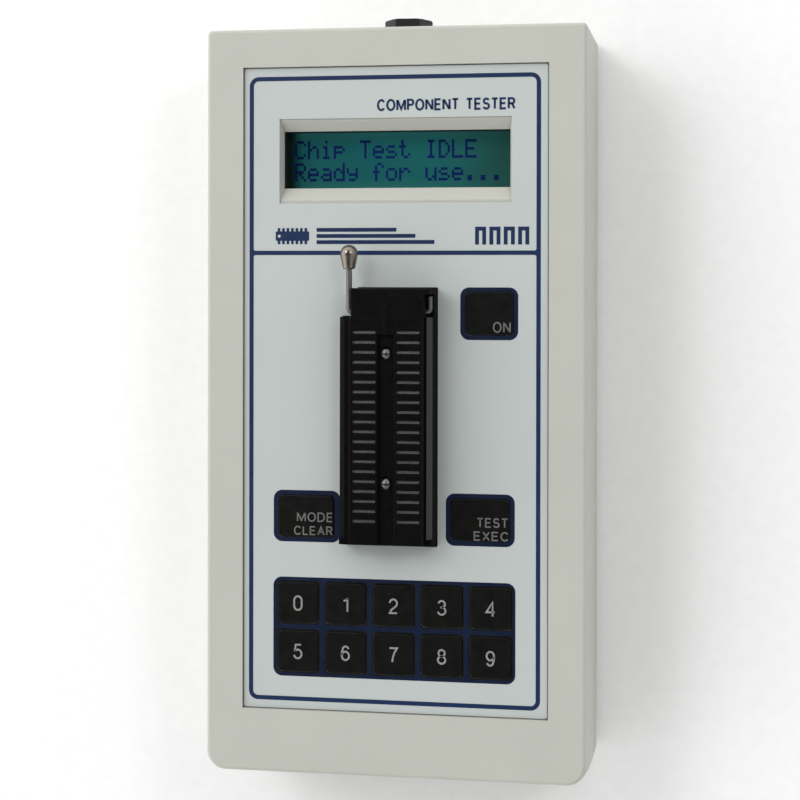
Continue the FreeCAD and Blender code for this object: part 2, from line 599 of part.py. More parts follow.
def make_electronics():
    top_z = BOARD_Z[0]
    put("processor_chip", chip(-28.0, -20.0, 13.6, 52.0, 20))
    put("memory_chip", chip(28.0, -20.0, 13.6, 41.0, 16))
    put("driver_chips", *[chip(x, 32.5, 6.4, 25.0, 10) for x in (-30.0, -11.0, 11.0, 30.0)])
    networks = []
    for x in (-14.5, 14.5):
        for y in (-18.0, 6.0):
            networks.append(box((x - 1.2, y - 10.0, top_z - 5.0), (x + 1.2, y + 10.0, top_z)))
    put("resistor_networks", *networks)
    cans = []
    for x, y in ((40.0, -62.0), (40.0, -52.0), (30.5, -64.0)):
        can = rod(4.0, (x, y, top_z - 11.0), (x, y, top_z))
        cans.append(can.makeFillet(0.5, straight_edges_at(can, z=top_z - 11.0)))
    put("capacitors", *cans)
    put("crystal", rounded_plate((-33.5, 10.0, top_z - 3.6), (-22.5, 14.6, top_z), 2.2))
    tab = box((-43.0, -66.0, top_z - 1.3), (-33.0, -51.0, top_z))
    body = box((-43.0, -60.0, top_z - 4.5), (-33.0, -51.0, top_z - 1.3))
    hole = rod(1.8, (-38.0, -63.0, top_z - 5), (-38.0, -63.0, top_z + 1))
    put("voltage_regulator", tab.fuse(body).cut(hole))
    buzzer = rod(7.0, (-4.0, -48.0, top_z - 8.0), (-4.0, -48.0, top_z))
    put("buzzer", buzzer.cut(rod(1.0, (-4.0, -48.0, top_z - 9.0), (-4.0, -48.0, top_z - 6.5))))


def make_zif_base():
    floor_z = BOARD_Z[1]
    x0, x1 = SOCKET_SIDES_X
    base = box((x0, SOCKET_FOOT_Y, floor_z), (x1, SOCKET_STEP_Y, SOCKET_LEDGE_Z))
    base = base.makeFillet(SOCKET_CORNER, straight_edges_at(base, x=x0, y=SOCKET_FOOT_Y))
    block = box((SOCKET_BLOCK_LEFT_X, SOCKET_STEP_Y, floor_z), (x1, SOCKET_HIGH_Y, SOCKET_TOP_Z))
    block = block.makeFillet(0.3, straight_edges_at(block, z=SOCKET_TOP_Z))
    ridge = box((SOCKET_X - RIDGE_HALF_X, SOCKET_STEP_Y, SOCKET_TOP_Z - 0.5),
                (SOCKET_X + RIDGE_HALF_X, SOCKET_HIGH_Y - 4.3, SOCKET_TOP_Z + RIDGE_HEIGHT))
    base = base.fuse([block, ridge])

    cuts = []
    # the sides lean inwards, and the ledges beside the cover have a broad chamfer that stops
    # short of the lower end
    chamfer_z = SOCKET_LEDGE_Z - LEDGE_CHAMFER
    start_y = SOCKET_LOW_Y + LEDGE_END
    for edge_x, inward in ((x0, 1), (x1, -1)):
        leaning_x = edge_x + inward * SIDE_DRAFT
        outside_x = edge_x - inward
        leaning = [vec(edge_x, SOCKET_FOOT_Y - 1, PANEL_Z),
                   vec(leaning_x, SOCKET_FOOT_Y - 1, SOCKET_LEDGE_Z),
                   vec(outside_x, SOCKET_FOOT_Y - 1, SOCKET_LEDGE_Z),
                   vec(outside_x, SOCKET_FOOT_Y - 1, PANEL_Z)]
        cuts.append(extruded(leaning, vec(0, SOCKET_STEP_Y - SOCKET_FOOT_Y + 1, 0)))
        chamfer = [vec(leaning_x + inward * LEDGE_CHAMFER, start_y, SOCKET_LEDGE_Z),
                   vec(outside_x, start_y, SOCKET_LEDGE_Z),
                   vec(outside_x, start_y, chamfer_z - 1 - SIDE_DRAFT)]
        cuts.append(extruded(chamfer, vec(0, SOCKET_STEP_Y - start_y, 0)))
    # the lower end leans too
    end = [vec(x0 - 1, SOCKET_FOOT_Y, PANEL_Z), vec(x0 - 1, SOCKET_LOW_Y, SOCKET_LEDGE_Z),
           vec(x0 - 1, SOCKET_FOOT_Y - 1, SOCKET_LEDGE_Z), vec(x0 - 1, SOCKET_FOOT_Y - 1, PANEL_Z)]
    cuts.append(extruded(end, vec(x1 - x0 + 2, 0, 0)))
    # the notch where the lever's toe lies, the fork's space, and the cross shaft's bearing
    cuts.append(box((TOE_NOTCH_X, SOCKET_STEP_Y, LEVER_Z - 1.1),
                    (x1 + 1, TOE_NOTCH_HIGH_Y, SOCKET_TOP_Z + 1)))
    cuts.append(box((SOCKET_X - FORK_HALF_X - 0.4, LEVER_Y - 3.0, LEVER_Z - 2.2),
                    (SOCKET_X + FORK_HALF_X + 0.4, LEVER_Y + 2.8, LEVER_Z + 3.1)))
    bearing = LEVER_WIRE + SHAFT_CLEARANCE
    cuts.append(rod(bearing, (x0 - 1, LEVER_Y, LEVER_Z), (x1 + 1, LEVER_Y, LEVER_Z)))
    for side, y in row_positions():
        cuts.append(side_box(side, SLOT_X[0] - 0.1, SLOT_X[1] + 0.1, y - 0.6, y + 0.6,
                             floor_z + 0.6, FRONT_Z + 10))
        middle = (SLOT_X[0] + SLOT_X[1]) / 2
        cuts.append(side_box(side, middle - 0.3, middle + 0.3, y - 0.3, y + 0.3, floor_z - 1, FRONT_Z))
    for y in COVER_SCREWS_Y:
        cuts.append(rod(0.9, (SOCKET_X, y, 40.0), (SOCKET_X, y, SOCKET_TOP_Z)))
    put("zif_base", base.cut(cuts))


def make_zif_contacts():
    floor_z = BOARD_Z[1]
    top_z = SOCKET_TOP_Z - COVER_SKIN - COVER_GAP
    contacts = []
    middle = (SLOT_X[0] + SLOT_X[1]) / 2
    for side, y in row_positions():
        blade = side_box(side, SLOT_X[0] + 0.05, SLOT_X[1] - 0.05, y - 0.35, y + 0.35, floor_z + 0.7, top_z)
        tail = side_box(side, middle - 0.25, middle + 0.25, y - 0.25, y + 0.25,
                        BOARD_Z[0] - 1.0, floor_z + 0.8)
        contacts.append(blade.fuse(tail))
    put("zif_contacts", *contacts)


def make_zif_cover():
    under_z = SOCKET_LEDGE_Z + COVER_GAP
    x0 = SOCKET_X - COVER_HALF_X
    x1 = SOCKET_X + COVER_HALF_X
    end_y = SOCKET_STEP_Y - COVER_GAP
    cover = box((x0, COVER_LOW_Y, under_z), (x1, end_y, SOCKET_TOP_Z))
    cover = cover.makeFillet(0.2, straight_edges_at(cover, z=SOCKET_TOP_Z))
    ridge = box((SOCKET_X - RIDGE_HALF_X, CHANNEL_TOP_Y, SOCKET_TOP_Z - 0.5),
                (SOCKET_X + RIDGE_HALF_X, end_y, SOCKET_TOP_Z + RIDGE_HEIGHT))
    fork_reach = CAM_RADIUS + FORK_GAP
    cam_y = LEVER_Y + CAM_OFFSET * math.cos(math.radians(CAM_ANGLE))
    fork = box((SOCKET_X - FORK_HALF_X, cam_y - fork_reach - FORK_ARM, LEVER_Z - 1.6),
               (SOCKET_X + FORK_HALF_X, cam_y + fork_reach + FORK_ARM, LEVER_Z + 2.8))
    cover = cover.fuse([ridge, fork])
    cuts = [
        box((SOCKET_X - CHANNEL_HALF_X, SOCKET_LOW_Y - 1, SOCKET_TOP_Z - CHANNEL_DEPTH),
            (SOCKET_X + CHANNEL_HALF_X, CHANNEL_TOP_Y, SOCKET_TOP_Z + 1)),
        box((SOCKET_X - FORK_HALF_X - 1, cam_y - fork_reach, LEVER_Z - 2.5),
            (SOCKET_X + FORK_HALF_X + 1, cam_y + fork_reach, LEVER_Z + 2.0)),
    ]
    last_row_y = FIRST_ROW_Y - ROW_PITCH * (ROW_COUNT - 1)
    for side in (-1, 1):
        cuts.append(side_box(side, SLOT_X[0] - 0.05, SLOT_X[1] + 0.1, last_row_y - 0.8, FIRST_ROW_Y + 1.5,
                             under_z - 1, SOCKET_TOP_Z - COVER_SKIN))
    for side, y in row_positions():
        half = SLOT_WIDTH / 2
        cuts.append(side_box(side, SLOT_X[0], SLOT_X[1], y - half, y + half, under_z, SOCKET_TOP_Z + 1))
    for y in COVER_SCREWS_Y:
        cuts.append(box((SOCKET_X - 1.1, y, under_z - 1), (SOCKET_X + 1.1, y + 0.8, SOCKET_TOP_Z)))
        for end in (y, y + 0.8):
            cuts.append(rod(1.1, (SOCKET_X, end, under_z - 1), (SOCKET_X, end, SOCKET_TOP_Z)))
    put("zif_cover", cover.cut(cuts).removeSplitter())

    screws = []
    head_z = SOCKET_TOP_Z - CHANNEL_DEPTH + 0.1
    head_radius = 1.5
    dome_radius = 1.7
    for y in COVER_SCREWS_Y:
        dome_centre = vec(SOCKET_X, y, head_z - math.sqrt(dome_radius ** 2 - head_radius ** 2))
        dome = Part.makeSphere(dome_radius, dome_centre)
        head = dome.common(rod(3.0, (SOCKET_X, y, head_z), (SOCKET_X, y, SOCKET_TOP_Z + 2)))
        shank = rod(0.9, (SOCKET_X, y, 40.2), (SOCKET_X, y, head_z + 0.2))
        slot = box((SOCKET_X - 2, y - 0.2, head_z + 0.5), (SOCKET_X + 2, y + 0.2, SOCKET_TOP_Z + 2))
        screws.append(head.fuse(shank).cut(slot))
    put("zif_cover_screws", *screws)


def lever_point(x, reach):
    """Point of the bent lever at a distance from its cross shaft."""
    tilt = math.radians(LEVER_TILT)
    return vec(x, LEVER_Y + reach * math.cos(tilt), LEVER_Z + reach * math.sin(tilt))


def make_lever():
    x0, x1 = LEVER_X
    turn = LEVER_BEND
    slack = turn * (1 - math.sqrt(0.5))
    arm_start = lever_point(x0, LEVER_ARM)
    edges = [
        Part.LineSegment(arm_start, lever_point(x0, turn)).toShape(),
        Part.Arc(lever_point(x0, turn), lever_point(x0 + slack, slack), lever_point(x0 + turn, 0)).toShape(),
        Part.LineSegment(lever_point(x0 + turn, 0), lever_point(x1 - turn, 0)).toShape(),
        Part.Arc(lever_point(x1 - turn, 0), lever_point(x1 - slack, slack), lever_point(x1, turn)).toShape(),
        Part.LineSegment(lever_point(x1, turn), lever_point(x1, LEVER_TOE)).toShape(),
    ]
    along = (lever_point(x0, 1) - lever_point(x0, 0)).normalize()
    ring = Part.Wire([Part.makeCircle(LEVER_WIRE, arm_start, along)])
    put("zif_lever", Part.Wire(edges).makePipeShell([ring], True, True))

    cam_angle = math.radians(CAM_ANGLE)
    cam_y = LEVER_Y + CAM_OFFSET * math.cos(cam_angle)
    cam_z = LEVER_Z + CAM_OFFSET * math.sin(cam_angle)
    cam = rod(CAM_RADIUS, (SOCKET_X - CAM_HALF_X, cam_y, cam_z), (SOCKET_X + CAM_HALF_X, cam_y, cam_z))
    shaft = rod(LEVER_WIRE, (x0 + 2, LEVER_Y, LEVER_Z), (x1 - 2, LEVER_Y, LEVER_Z))
    put("zif_cam", cam.cut(shaft))

    # bullet: a tapered skirt and a round end
    shoulder = KNOB_LENGTH - KNOB_RADIUS
    profile = [vec(LEVER_WIRE, 0, 0), vec(1.35, 0, 0), vec(1.6, 0.25, 0),
               vec(KNOB_RADIUS, shoulder - 0.4, 0), vec(KNOB_RADIUS, shoulder, 0)]
    sides = [Part.LineSegment(a, b).toShape() for a, b in zip(profile, profile[1:])]
    slant = KNOB_RADIUS * math.sqrt(0.5)
    tip = vec(0, KNOB_LENGTH, 0)
    sides.append(Part.Arc(profile[-1], vec(slant, shoulder + slant, 0), tip).toShape())
    socket_depth = LEVER_ARM - KNOB_START
    sides.append(Part.LineSegment(tip, vec(0, socket_depth, 0)).toShape())
    sides.append(Part.LineSegment(vec(0, socket_depth, 0), vec(LEVER_WIRE, socket_depth, 0)).toShape())
    sides.append(Part.LineSegment(vec(LEVER_WIRE, socket_depth, 0), profile[0]).toShape())
    knob = Part.Face(Part.Wire(sides)).revolve(vec(0, 0, 0), Y_AXIS, 360)
    knob.rotate(vec(0, 0, 0), X_AXIS, LEVER_TILT)
    knob.translate(lever_point(x0, KNOB_START))
    put("lever_knob", knob)


def make_jack():
    end_y = HALF_LENGTH + JACK_REACH
    back_y = INNER_Y - 11.5
    bore_end = end_y - JACK_BORE_DEPTH
    body = rod(JACK_BUSHING, (JACK_X, INNER_Y - 1, JACK_Z), (JACK_X, end_y, JACK_Z))
    body = body.makeChamfer(0.4, straight_edges_at(body, y=end_y))
    body = body.fuse(rod(5.4, (JACK_X, back_y, JACK_Z), (JACK_X, INNER_Y, JACK_Z)))
    body = body.cut(rod(JACK_BORE, (JACK_X, bore_end, JACK_Z), (JACK_X, end_y + 1, JACK_Z)))
    body = body.cut(rod(JACK_PIN_ROOT, (JACK_X, back_y, JACK_Z), (JACK_X, end_y, JACK_Z)))
    for x in (-2.6, 2.6):
        body = body.cut(box((JACK_X + x - 0.8, back_y - 1, JACK_Z - 0.3),
                            (JACK_X + x + 0.8, back_y + 3, JACK_Z + 0.3)))
    put("dc_jack", body)

    pin = rod(JACK_PIN, (JACK_X, bore_end - 1, JACK_Z), (JACK_X, end_y - 0.6, JACK_Z))
    pin = pin.makeFillet(0.5, straight_edges_at(pin, y=end_y - 0.6))
    pin = pin.fuse(rod(JACK_PIN_ROOT, (JACK_X, back_y, JACK_Z), (JACK_X, bore_end, JACK_Z)))
    tabs = []
    for x in (-2.6, 2.6):
        tabs.append(box((JACK_X + x - 0.8, back_y - 3, JACK_Z - 0.3),
                        (JACK_X + x + 0.8, back_y + 3, JACK_Z + 0.3)))
    put("dc_jack_contacts", pin, *tabs)
    nut = hex_nut(vec(JACK_X, HALF_LENGTH, JACK_Z), Y_AXIS, JACK_NUT_FLATS, JACK_NUT_HEIGHT,
                  JACK_BUSHING, JACK_NUT_TURN)
    put("dc_jack_nut", nut)

    for name, x in (("jack_lead_red", JACK_X - 2.6), ("jack_lead_black", JACK_X + 2.6)):
        route = [(x, back_y - 2.9, JACK_Z - 1.0), (x, back_y - 5.2, JACK_Z - 0.4),
                 (x, back_y - 6.0, JACK_Z + 3.0), (x, back_y - 5.8, BOARD_Z[0])]
        put(name, tube(route, 0.6))


def cell(x, nub_sign):
    """AA cell along Y whose nub touches the contact at one end."""
    tip_y = TUB_Y[1] - PLATE_THICKNESS if nub_sign > 0 else TUB_Y[0] + PLATE_THICKNESS
    shoulder_y = tip_y - nub_sign * CELL_NUB
    end_y = shoulder_y - nub_sign * CELL_BODY
    low_y, high_y = sorted((shoulder_y, end_y))
    body = rod(CELL_RADIUS, (x, low_y, CELL_Z), (x, high_y, CELL_Z))
    body = body.makeFillet(0.6, straight_edges_at(body, y=low_y) + straight_edges_at(body, y=high_y))
    nub = rod(CELL_NUB_RADIUS, (x, shoulder_y - nub_sign * 0.1, CELL_Z), (x, tip_y, CELL_Z))
    return body.fuse(nub), end_y


def coil_spring(x, plate_y, cell_y):
    """Conical coil spring between a contact plate and a cell's flat end."""
    wire = 0.35
    wide = 4.2
    narrow = 2.6
    turns = 3
    steps_per_turn = 8
    towards = 1 if cell_y > plate_y else -1
    start_y = plate_y + towards * (wire + 0.05)
    rise = abs(cell_y - plate_y) - 2 * wire - 0.1
    points = []
    for step in range(turns * steps_per_turn + 1):
        share = step / (turns * steps_per_turn)
        angle = 2 * math.pi * step / steps_per_turn
        radius = wide + (narrow - wide) * share
        y = start_y + towards * rise * share
        points.append((x + radius * math.cos(angle), y, CELL_Z + radius * math.sin(angle)))
    return tube(points, wire)


def make_battery():
    places = [CELL_PITCH * (index - 1.5) for index in range(4)]
    low_plate_y = TUB_Y[0] + PLATE_THICKNESS
    high_plate_y = TUB_Y[1] - PLATE_THICKNESS
    cells = []
    springs = []
    for index, x in enumerate(places):
        nub_sign = 1 if index % 2 == 0 else -1
        body, flat_y = cell(x, nub_sign)
        cells.append(body)
        springs.append(coil_spring(x, low_plate_y if nub_sign > 0 else high_plate_y, flat_y))
    put("battery_cells", *cells)
    put("battery_springs", *springs)

    half = 5.5
    spans = [(places[0], places[1], high_plate_y, TUB_Y[1]), (places[2], places[3], high_plate_y, TUB_Y[1]),
             (places[1], places[2], TUB_Y[0], low_plate_y)]
    plates = [box((x0 - half, y0, 6.0), (x1 + half, y1, 17.4)) for x0, x1, y0, y1 in spans]
    tab_end_y = TUB_Y[0] - TUB_WALL - 0.5
    for x in (places[0], places[3]):
        plate = box((x - half, TUB_Y[0], 6.0), (x + half, low_plate_y, 17.4))
        plates.append(plate.fuse(box((x - 1.4, tab_end_y, 16.0), (x + 1.4, TUB_Y[0] + 0.1, 16.5))))
    put("battery_plates", *plates)

    for name, x, end_x in (("battery_lead_red", places[0], -18.0), ("battery_lead_black", places[3], 18.0)):
        route = [(x, tab_end_y - 0.8, 16.2), (x, tab_end_y - 0.8, 23.0), (x, -84.0, 26.5),
                 ((x + end_x) / 2, -70.0, 28.0), (end_x, -61.0, 30.0), (end_x, -59.5, BOARD_Z[0])]
        put(name, tube(route, 0.65))


os.makedirs("parts", exist_ok=True)
KEYS = key_outlines()
make_front_shell()
make_rear_shell()
make_battery_cover()
make_feet()
make_case_screws()
make_overlay(KEYS)
make_keypad_layer(KEYS)
make_domes(KEYS)
make_keys(KEYS)
make_keypad_tail()
make_main_board(make_display())
make_electronics()
make_zif_base()
make_zif_contacts()
make_zif_cover()
make_lever()
make_jack()
make_battery()
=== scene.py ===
import json
import math

import bmesh
import bpy
from mathutils import Matrix, Vector


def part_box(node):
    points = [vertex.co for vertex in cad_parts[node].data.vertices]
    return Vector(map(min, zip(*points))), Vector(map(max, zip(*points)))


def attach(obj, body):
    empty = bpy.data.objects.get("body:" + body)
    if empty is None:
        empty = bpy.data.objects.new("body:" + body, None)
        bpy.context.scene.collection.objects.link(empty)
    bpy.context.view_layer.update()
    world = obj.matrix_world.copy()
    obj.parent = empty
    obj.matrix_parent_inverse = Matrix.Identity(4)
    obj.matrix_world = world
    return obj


# Component tester: materials for the CAD nodes, the panel's printing, the display's characters and a studio.

MM = 0.001

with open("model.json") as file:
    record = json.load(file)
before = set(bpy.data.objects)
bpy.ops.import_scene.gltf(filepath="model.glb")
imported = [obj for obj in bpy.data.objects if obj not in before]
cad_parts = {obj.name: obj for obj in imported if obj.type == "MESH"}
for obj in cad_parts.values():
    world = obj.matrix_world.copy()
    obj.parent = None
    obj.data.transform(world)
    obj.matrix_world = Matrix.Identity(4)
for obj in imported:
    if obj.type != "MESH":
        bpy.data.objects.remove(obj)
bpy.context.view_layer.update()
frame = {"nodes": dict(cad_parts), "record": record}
nodes = frame["nodes"]
record = frame["record"]

# Places on the case are in millimetres from the middle of the case, seen from the front.
shell_low, shell_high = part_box("front_shell")
CASE_Y = (shell_low.y + shell_high.y) / 2
FRONT_Z = shell_high.z
PANEL_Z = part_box("panel_overlay")[1].z
KEY_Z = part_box("key_0")[1].z
GLASS_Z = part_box("lcd_glass")[1].z

# Camera: metres from the middle of the case's front face, degrees, and millimetres for the lens.
CAMERA_PLACE = (0.08418, 0.03176, 0.46937)
CAMERA_TURN = 9.965
CAMERA_TILT = -0.19
CAMERA_ROLL = 0.092
CAMERA_LENS = 82.75
CAMERA_SENSOR = 36.0
CAMERA_SHIFT = -0.1425
CAMERA_NEAREST = 0.01

# Studio: each lamp's place and width in metres and its power in watts. The surroundings' brightness
# changes between the two heights of SKY_FADE, where 0 is the horizon and 1 is overhead.
KEY_LIGHT = {"place": (-0.82, 0.70, 1.52), "size": 0.6, "power": 7.2}
FILL_LIGHT = {"place": (0.45, 0.30, 0.75), "size": 0.2, "power": 1.0}
FLOOR_HALF = 3.0
FLOOR_WHITES = ((0.90, 0.90, 0.90, 1.0), (0.93, 0.93, 0.93, 1.0))
SKY_OVERHEAD = 0.08
SKY_HORIZON = 1.45
SKY_FADE = (0.92, 0.6)
SKY_SIDE = (-0.80, 0.40, 0.0)
SKY_UNEVEN = 0.6

# Printing on the panel, in millimetres.
INK_HEIGHT = 0.04
LINE_WIDTH = 1.12
FRAME_X = (-38.10, 37.62)
FRAME_Y = (-78.13, 84.47)
FRAME_CORNER = 1.9
DIVIDER_Y = 38.8
DIVIDER_CORNER = 0.5
CORNER_STEPS = 8
FIELD_CORNER = 2.3
KEYPAD_FIELD = (-32.05, -72.2, 31.8, -46.2)
KEY_FIELDS = {
    "key_on": (17.4, 16.3, 32.4, 29.85),
    "key_mode_clear": (-32.0, -36.9, -14.15, -23.4),
    "key_test_exec": (13.7, -36.9, 31.6, -23.4),
}
PAD_GAP = 0.12
PAD_CORNER = 1.3
RIM_WIDTH = 0.3
DIGIT_HEIGHT = 4.05
DIGIT_THICKNESS = 0.46
DIGIT_DROP = 0.15
LEGENDS = (
    ("legend_on", "ON", (25.9, 18.2, 30.5, 21.0), "key_on"),
    ("legend_mode", "MODE", (-25.7, -31.6, -16.05, -29.1), "key_mode_clear"),
    ("legend_clear", "CLEAR", (-26.5, -35.1, -16.15, -32.7), "key_mode_clear"),
    ("legend_test", "TEST", (21.8, -32.0, 29.9, -29.5), "key_test_exec"),
    ("legend_exec", "EXEC", (21.0, -35.4, 30.1, -33.0), "key_test_exec"),
)
LEGEND_THICKNESS = 0.34
TITLE_BOX = (-4.6, 75.6, 31.6, 78.75)
TITLE_THICKNESS = 0.56

# Plain marks between the display and the dividing line, in millimetres.
MARKS_Y = (40.9, 45.5)
MARKS_INSET = 0.2
CHIP_X = (-31.6, -22.6)
CHIP_HALF_WIDTH = 1.25
CHIP_CORNER = 0.35
CHIP_PINS = 7
CHIP_PIN_WIDTH = 0.7
CHIP_END = 0.55
NOTCH_LENGTH = 0.8
NOTCH_CORNER = 0.39
BARS_LEFT = -20.6
BARS_RIGHT = (10.6, 5.6, 0.6)
BAR_THICKNESS = 1.0
WAVE_X = (21.2, 35.2)
WAVE_PULSES = 4

# Dot matrix display: 16 by 2 characters of 5 by 7 dots, in millimetres.
CELL_X = 3.54
CELL_Y = 5.95
DOT_PITCH = (0.6, 0.7)
DOT_SIZE = (0.62, 0.72)
TEXT_LEFT = -28.9
TEXT_TOP = 68.9
DOT_HEIGHT = 0.03
DISPLAY_LINES = ("Chip Test IDLE", "Ready for use...")
GLYPHS = {
    "C": (".###.", "#...#", "#....", "#....", "#....", "#...#", ".###."),
    "D": ("###..", "#..#.", "#...#", "#...#", "#...#", "#..#.", "###.."),
    "E": ("#####", "#....", "#....", "####.", "#....", "#....", "#####"),
    "I": (".###.", "..#..", "..#..", "..#..", "..#..", "..#..", ".###."),
    "L": ("#....", "#....", "#....", "#....", "#....", "#....", "#####"),
    "R": ("####.", "#...#", "#...#", "####.", "#.#..", "#..#.", "#...#"),
    "T": ("#####", "..#..", "..#..", "..#..", "..#..", "..#..", "..#.."),
    "a": (".....", ".....", ".###.", "....#", ".####", "#...#", ".####"),
    "d": ("....#", "....#", ".##.#", "#..##", "#...#", "#...#", ".####"),
    "e": (".....", ".....", ".###.", "#...#", "#####", "#....", ".###."),
    "f": ("..##.", ".#..#", ".#...", "###..", ".#...", ".#...", ".#..."),
    "h": ("#....", "#....", "#.##.", "##..#", "#...#", "#...#", "#...#"),
    "i": ("..#..", ".....", ".##..", "..#..", "..#..", "..#..", ".###."),
    "o": (".....", ".....", ".###.", "#...#", "#...#", "#...#", ".###."),
    "p": (".....", ".....", "####.", "#...#", "####.", "#....", "#...."),
    "r": (".....", ".....", "#.##.", "##..#", "#....", "#....", "#...."),
    "s": (".....", ".....", ".###.", "#....", ".###.", "....#", "####."),
    "t": (".#...", ".#...", "###..", ".#...", ".#...", ".#..#", "..##."),
    "u": (".....", ".....", "#...#", "#...#", "#...#", "#..##", ".##.#"),
    "y": (".....", ".....", "#...#", "#...#", ".####", "....#", ".###."),
    ".": (".....", ".....", ".....", ".....", ".....", ".##..", ".##.."),
    " ": (".....", ".....", ".....", ".....", ".....", ".....", "....."),
}


def arc(cx, cy, rx, ry, start, stop, steps=10):
    """Points along part of an ellipse, from one angle in degrees to another."""
    angles = [math.radians(start + (stop - start) * step / steps) for step in range(steps + 1)]
    return [(cx + rx * math.cos(a), cy + ry * math.sin(a)) for a in angles]


# Middle lines of the plain letters and numbers: each is a width and its strokes, one unit high.
STROKES = {
    "0": (0.56, [arc(0.28, 0.7, 0.28, 0.3, 0, 180) + arc(0.28, 0.3, 0.28, 0.3, 180, 360) + [(0.56, 0.7)]]),
    "1": (0.42, [[(0.36, 0.0), (0.36, 1.0)], [(0.36, 0.99), (0.31, 0.87), (0.21, 0.8), (0.07, 0.78)]]),
    "2": (0.56, [arc(0.28, 0.71, 0.27, 0.29, 175, -25)
                 + [(0.38, 0.42), (0.14, 0.24), (0.02, 0.0), (0.56, 0.0)]]),
    "3": (0.56, [arc(0.28, 0.76, 0.24, 0.24, 165, -90) + [(0.2, 0.52)],
                 arc(0.28, 0.27, 0.28, 0.27, 90, -165)]),
    "4": (0.6, [[(0.45, 0.0), (0.45, 1.0), (0.0, 0.29), (0.6, 0.29)]]),
    "5": (0.56, [[(0.51, 1.0), (0.12, 1.0), (0.05, 0.5)], arc(0.27, 0.325, 0.29, 0.325, 142, -165)]),
    "6": (0.56, [arc(0.3, 0.7, 0.24, 0.3, 25, 150) + arc(0.3, 0.42, 0.29, 0.52, 135, 185),
                 arc(0.285, 0.315, 0.275, 0.315, 0, 360)]),
    "7": (0.56, [[(0.0, 1.0), (0.56, 1.0), (0.37, 0.68), (0.26, 0.36), (0.2, 0.0)]]),
    "8": (0.56, [arc(0.28, 0.765, 0.235, 0.235, 0, 360), arc(0.28, 0.27, 0.28, 0.27, 0, 360)]),
    "9": (0.56, [arc(0.26, 0.3, 0.24, 0.3, 205, 330) + arc(0.26, 0.58, 0.29, 0.52, -45, 5),
                 arc(0.275, 0.685, 0.275, 0.315, 0, 360)]),
    "A": (0.7, [[(0.0, 0.0), (0.35, 1.0), (0.7, 0.0)], [(0.12, 0.35), (0.58, 0.35)]]),
    "C": (0.7, [arc(0.37, 0.5, 0.37, 0.5, 38, 322, 16)]),
    "D": (0.68, [[(0.0, 0.0), (0.0, 1.0)] + arc(0.3, 0.5, 0.38, 0.5, 90, -90) + [(0.0, 0.0)]]),
    "E": (0.56, [[(0.56, 1.0), (0.0, 1.0), (0.0, 0.0), (0.56, 0.0)], [(0.0, 0.52), (0.5, 0.52)]]),
    "L": (0.5, [[(0.0, 1.0), (0.0, 0.0), (0.5, 0.0)]]),
    "M": (0.84, [[(0.0, 0.0), (0.0, 1.0)], [(0.04, 0.96), (0.42, 0.08), (0.8, 0.96)],
                 [(0.84, 1.0), (0.84, 0.0)]]),
    "N": (0.66, [[(0.0, 0.0), (0.0, 1.0)], [(0.04, 0.96), (0.62, 0.04)], [(0.66, 1.0), (0.66, 0.0)]]),
    "O": (0.78, [arc(0.39, 0.5, 0.39, 0.5, 0, 360, 24)]),
    "P": (0.58, [[(0.0, 0.0), (0.0, 1.0)] + arc(0.33, 0.745, 0.25, 0.255, 90, -90) + [(0.0, 0.49)]]),
    "R": (0.6, [[(0.0, 0.0), (0.0, 1.0)] + arc(0.33, 0.75, 0.25, 0.25, 90, -90) + [(0.0, 0.5)],
                [(0.34, 0.5), (0.6, 0.0)]]),
    "S": (0.6, [arc(0.3, 0.755, 0.26, 0.245, 20, 250) + arc(0.3, 0.265, 0.29, 0.265, 70, -165)]),
    "T": (0.6, [[(0.0, 1.0), (0.6, 1.0)], [(0.3, 1.0), (0.3, 0.0)]]),
    "X": (0.6, [[(0.0, 0.0), (0.6, 1.0)], [(0.0, 1.0), (0.6, 0.0)]]),
    " ": (0.3, []),
}
LETTER_GAP = 0.32

# A line's corner reaches out no further than half its thickness divided by this.
MITRE_LIMIT = 0.45
SAME_POINT = 1e-6


def on_case(x, y, z=0.0):
    """Point in the row frame of a place on the case in millimetres, at height z in metres."""
    return Vector((x * MM, CASE_Y + y * MM, z))


# ---------------------------------------------------------------- materials

# How many rays the softened edges and the crevices are worked out from.
SHADING_SAMPLES = 4


def set_range(node, start, stop, low, high):
    """Sets what a Map Range node takes in and gives out."""
    for name, number in (("From Min", start), ("From Max", stop), ("To Min", low), ("To Max", high)):
        node.inputs[name].default_value = number


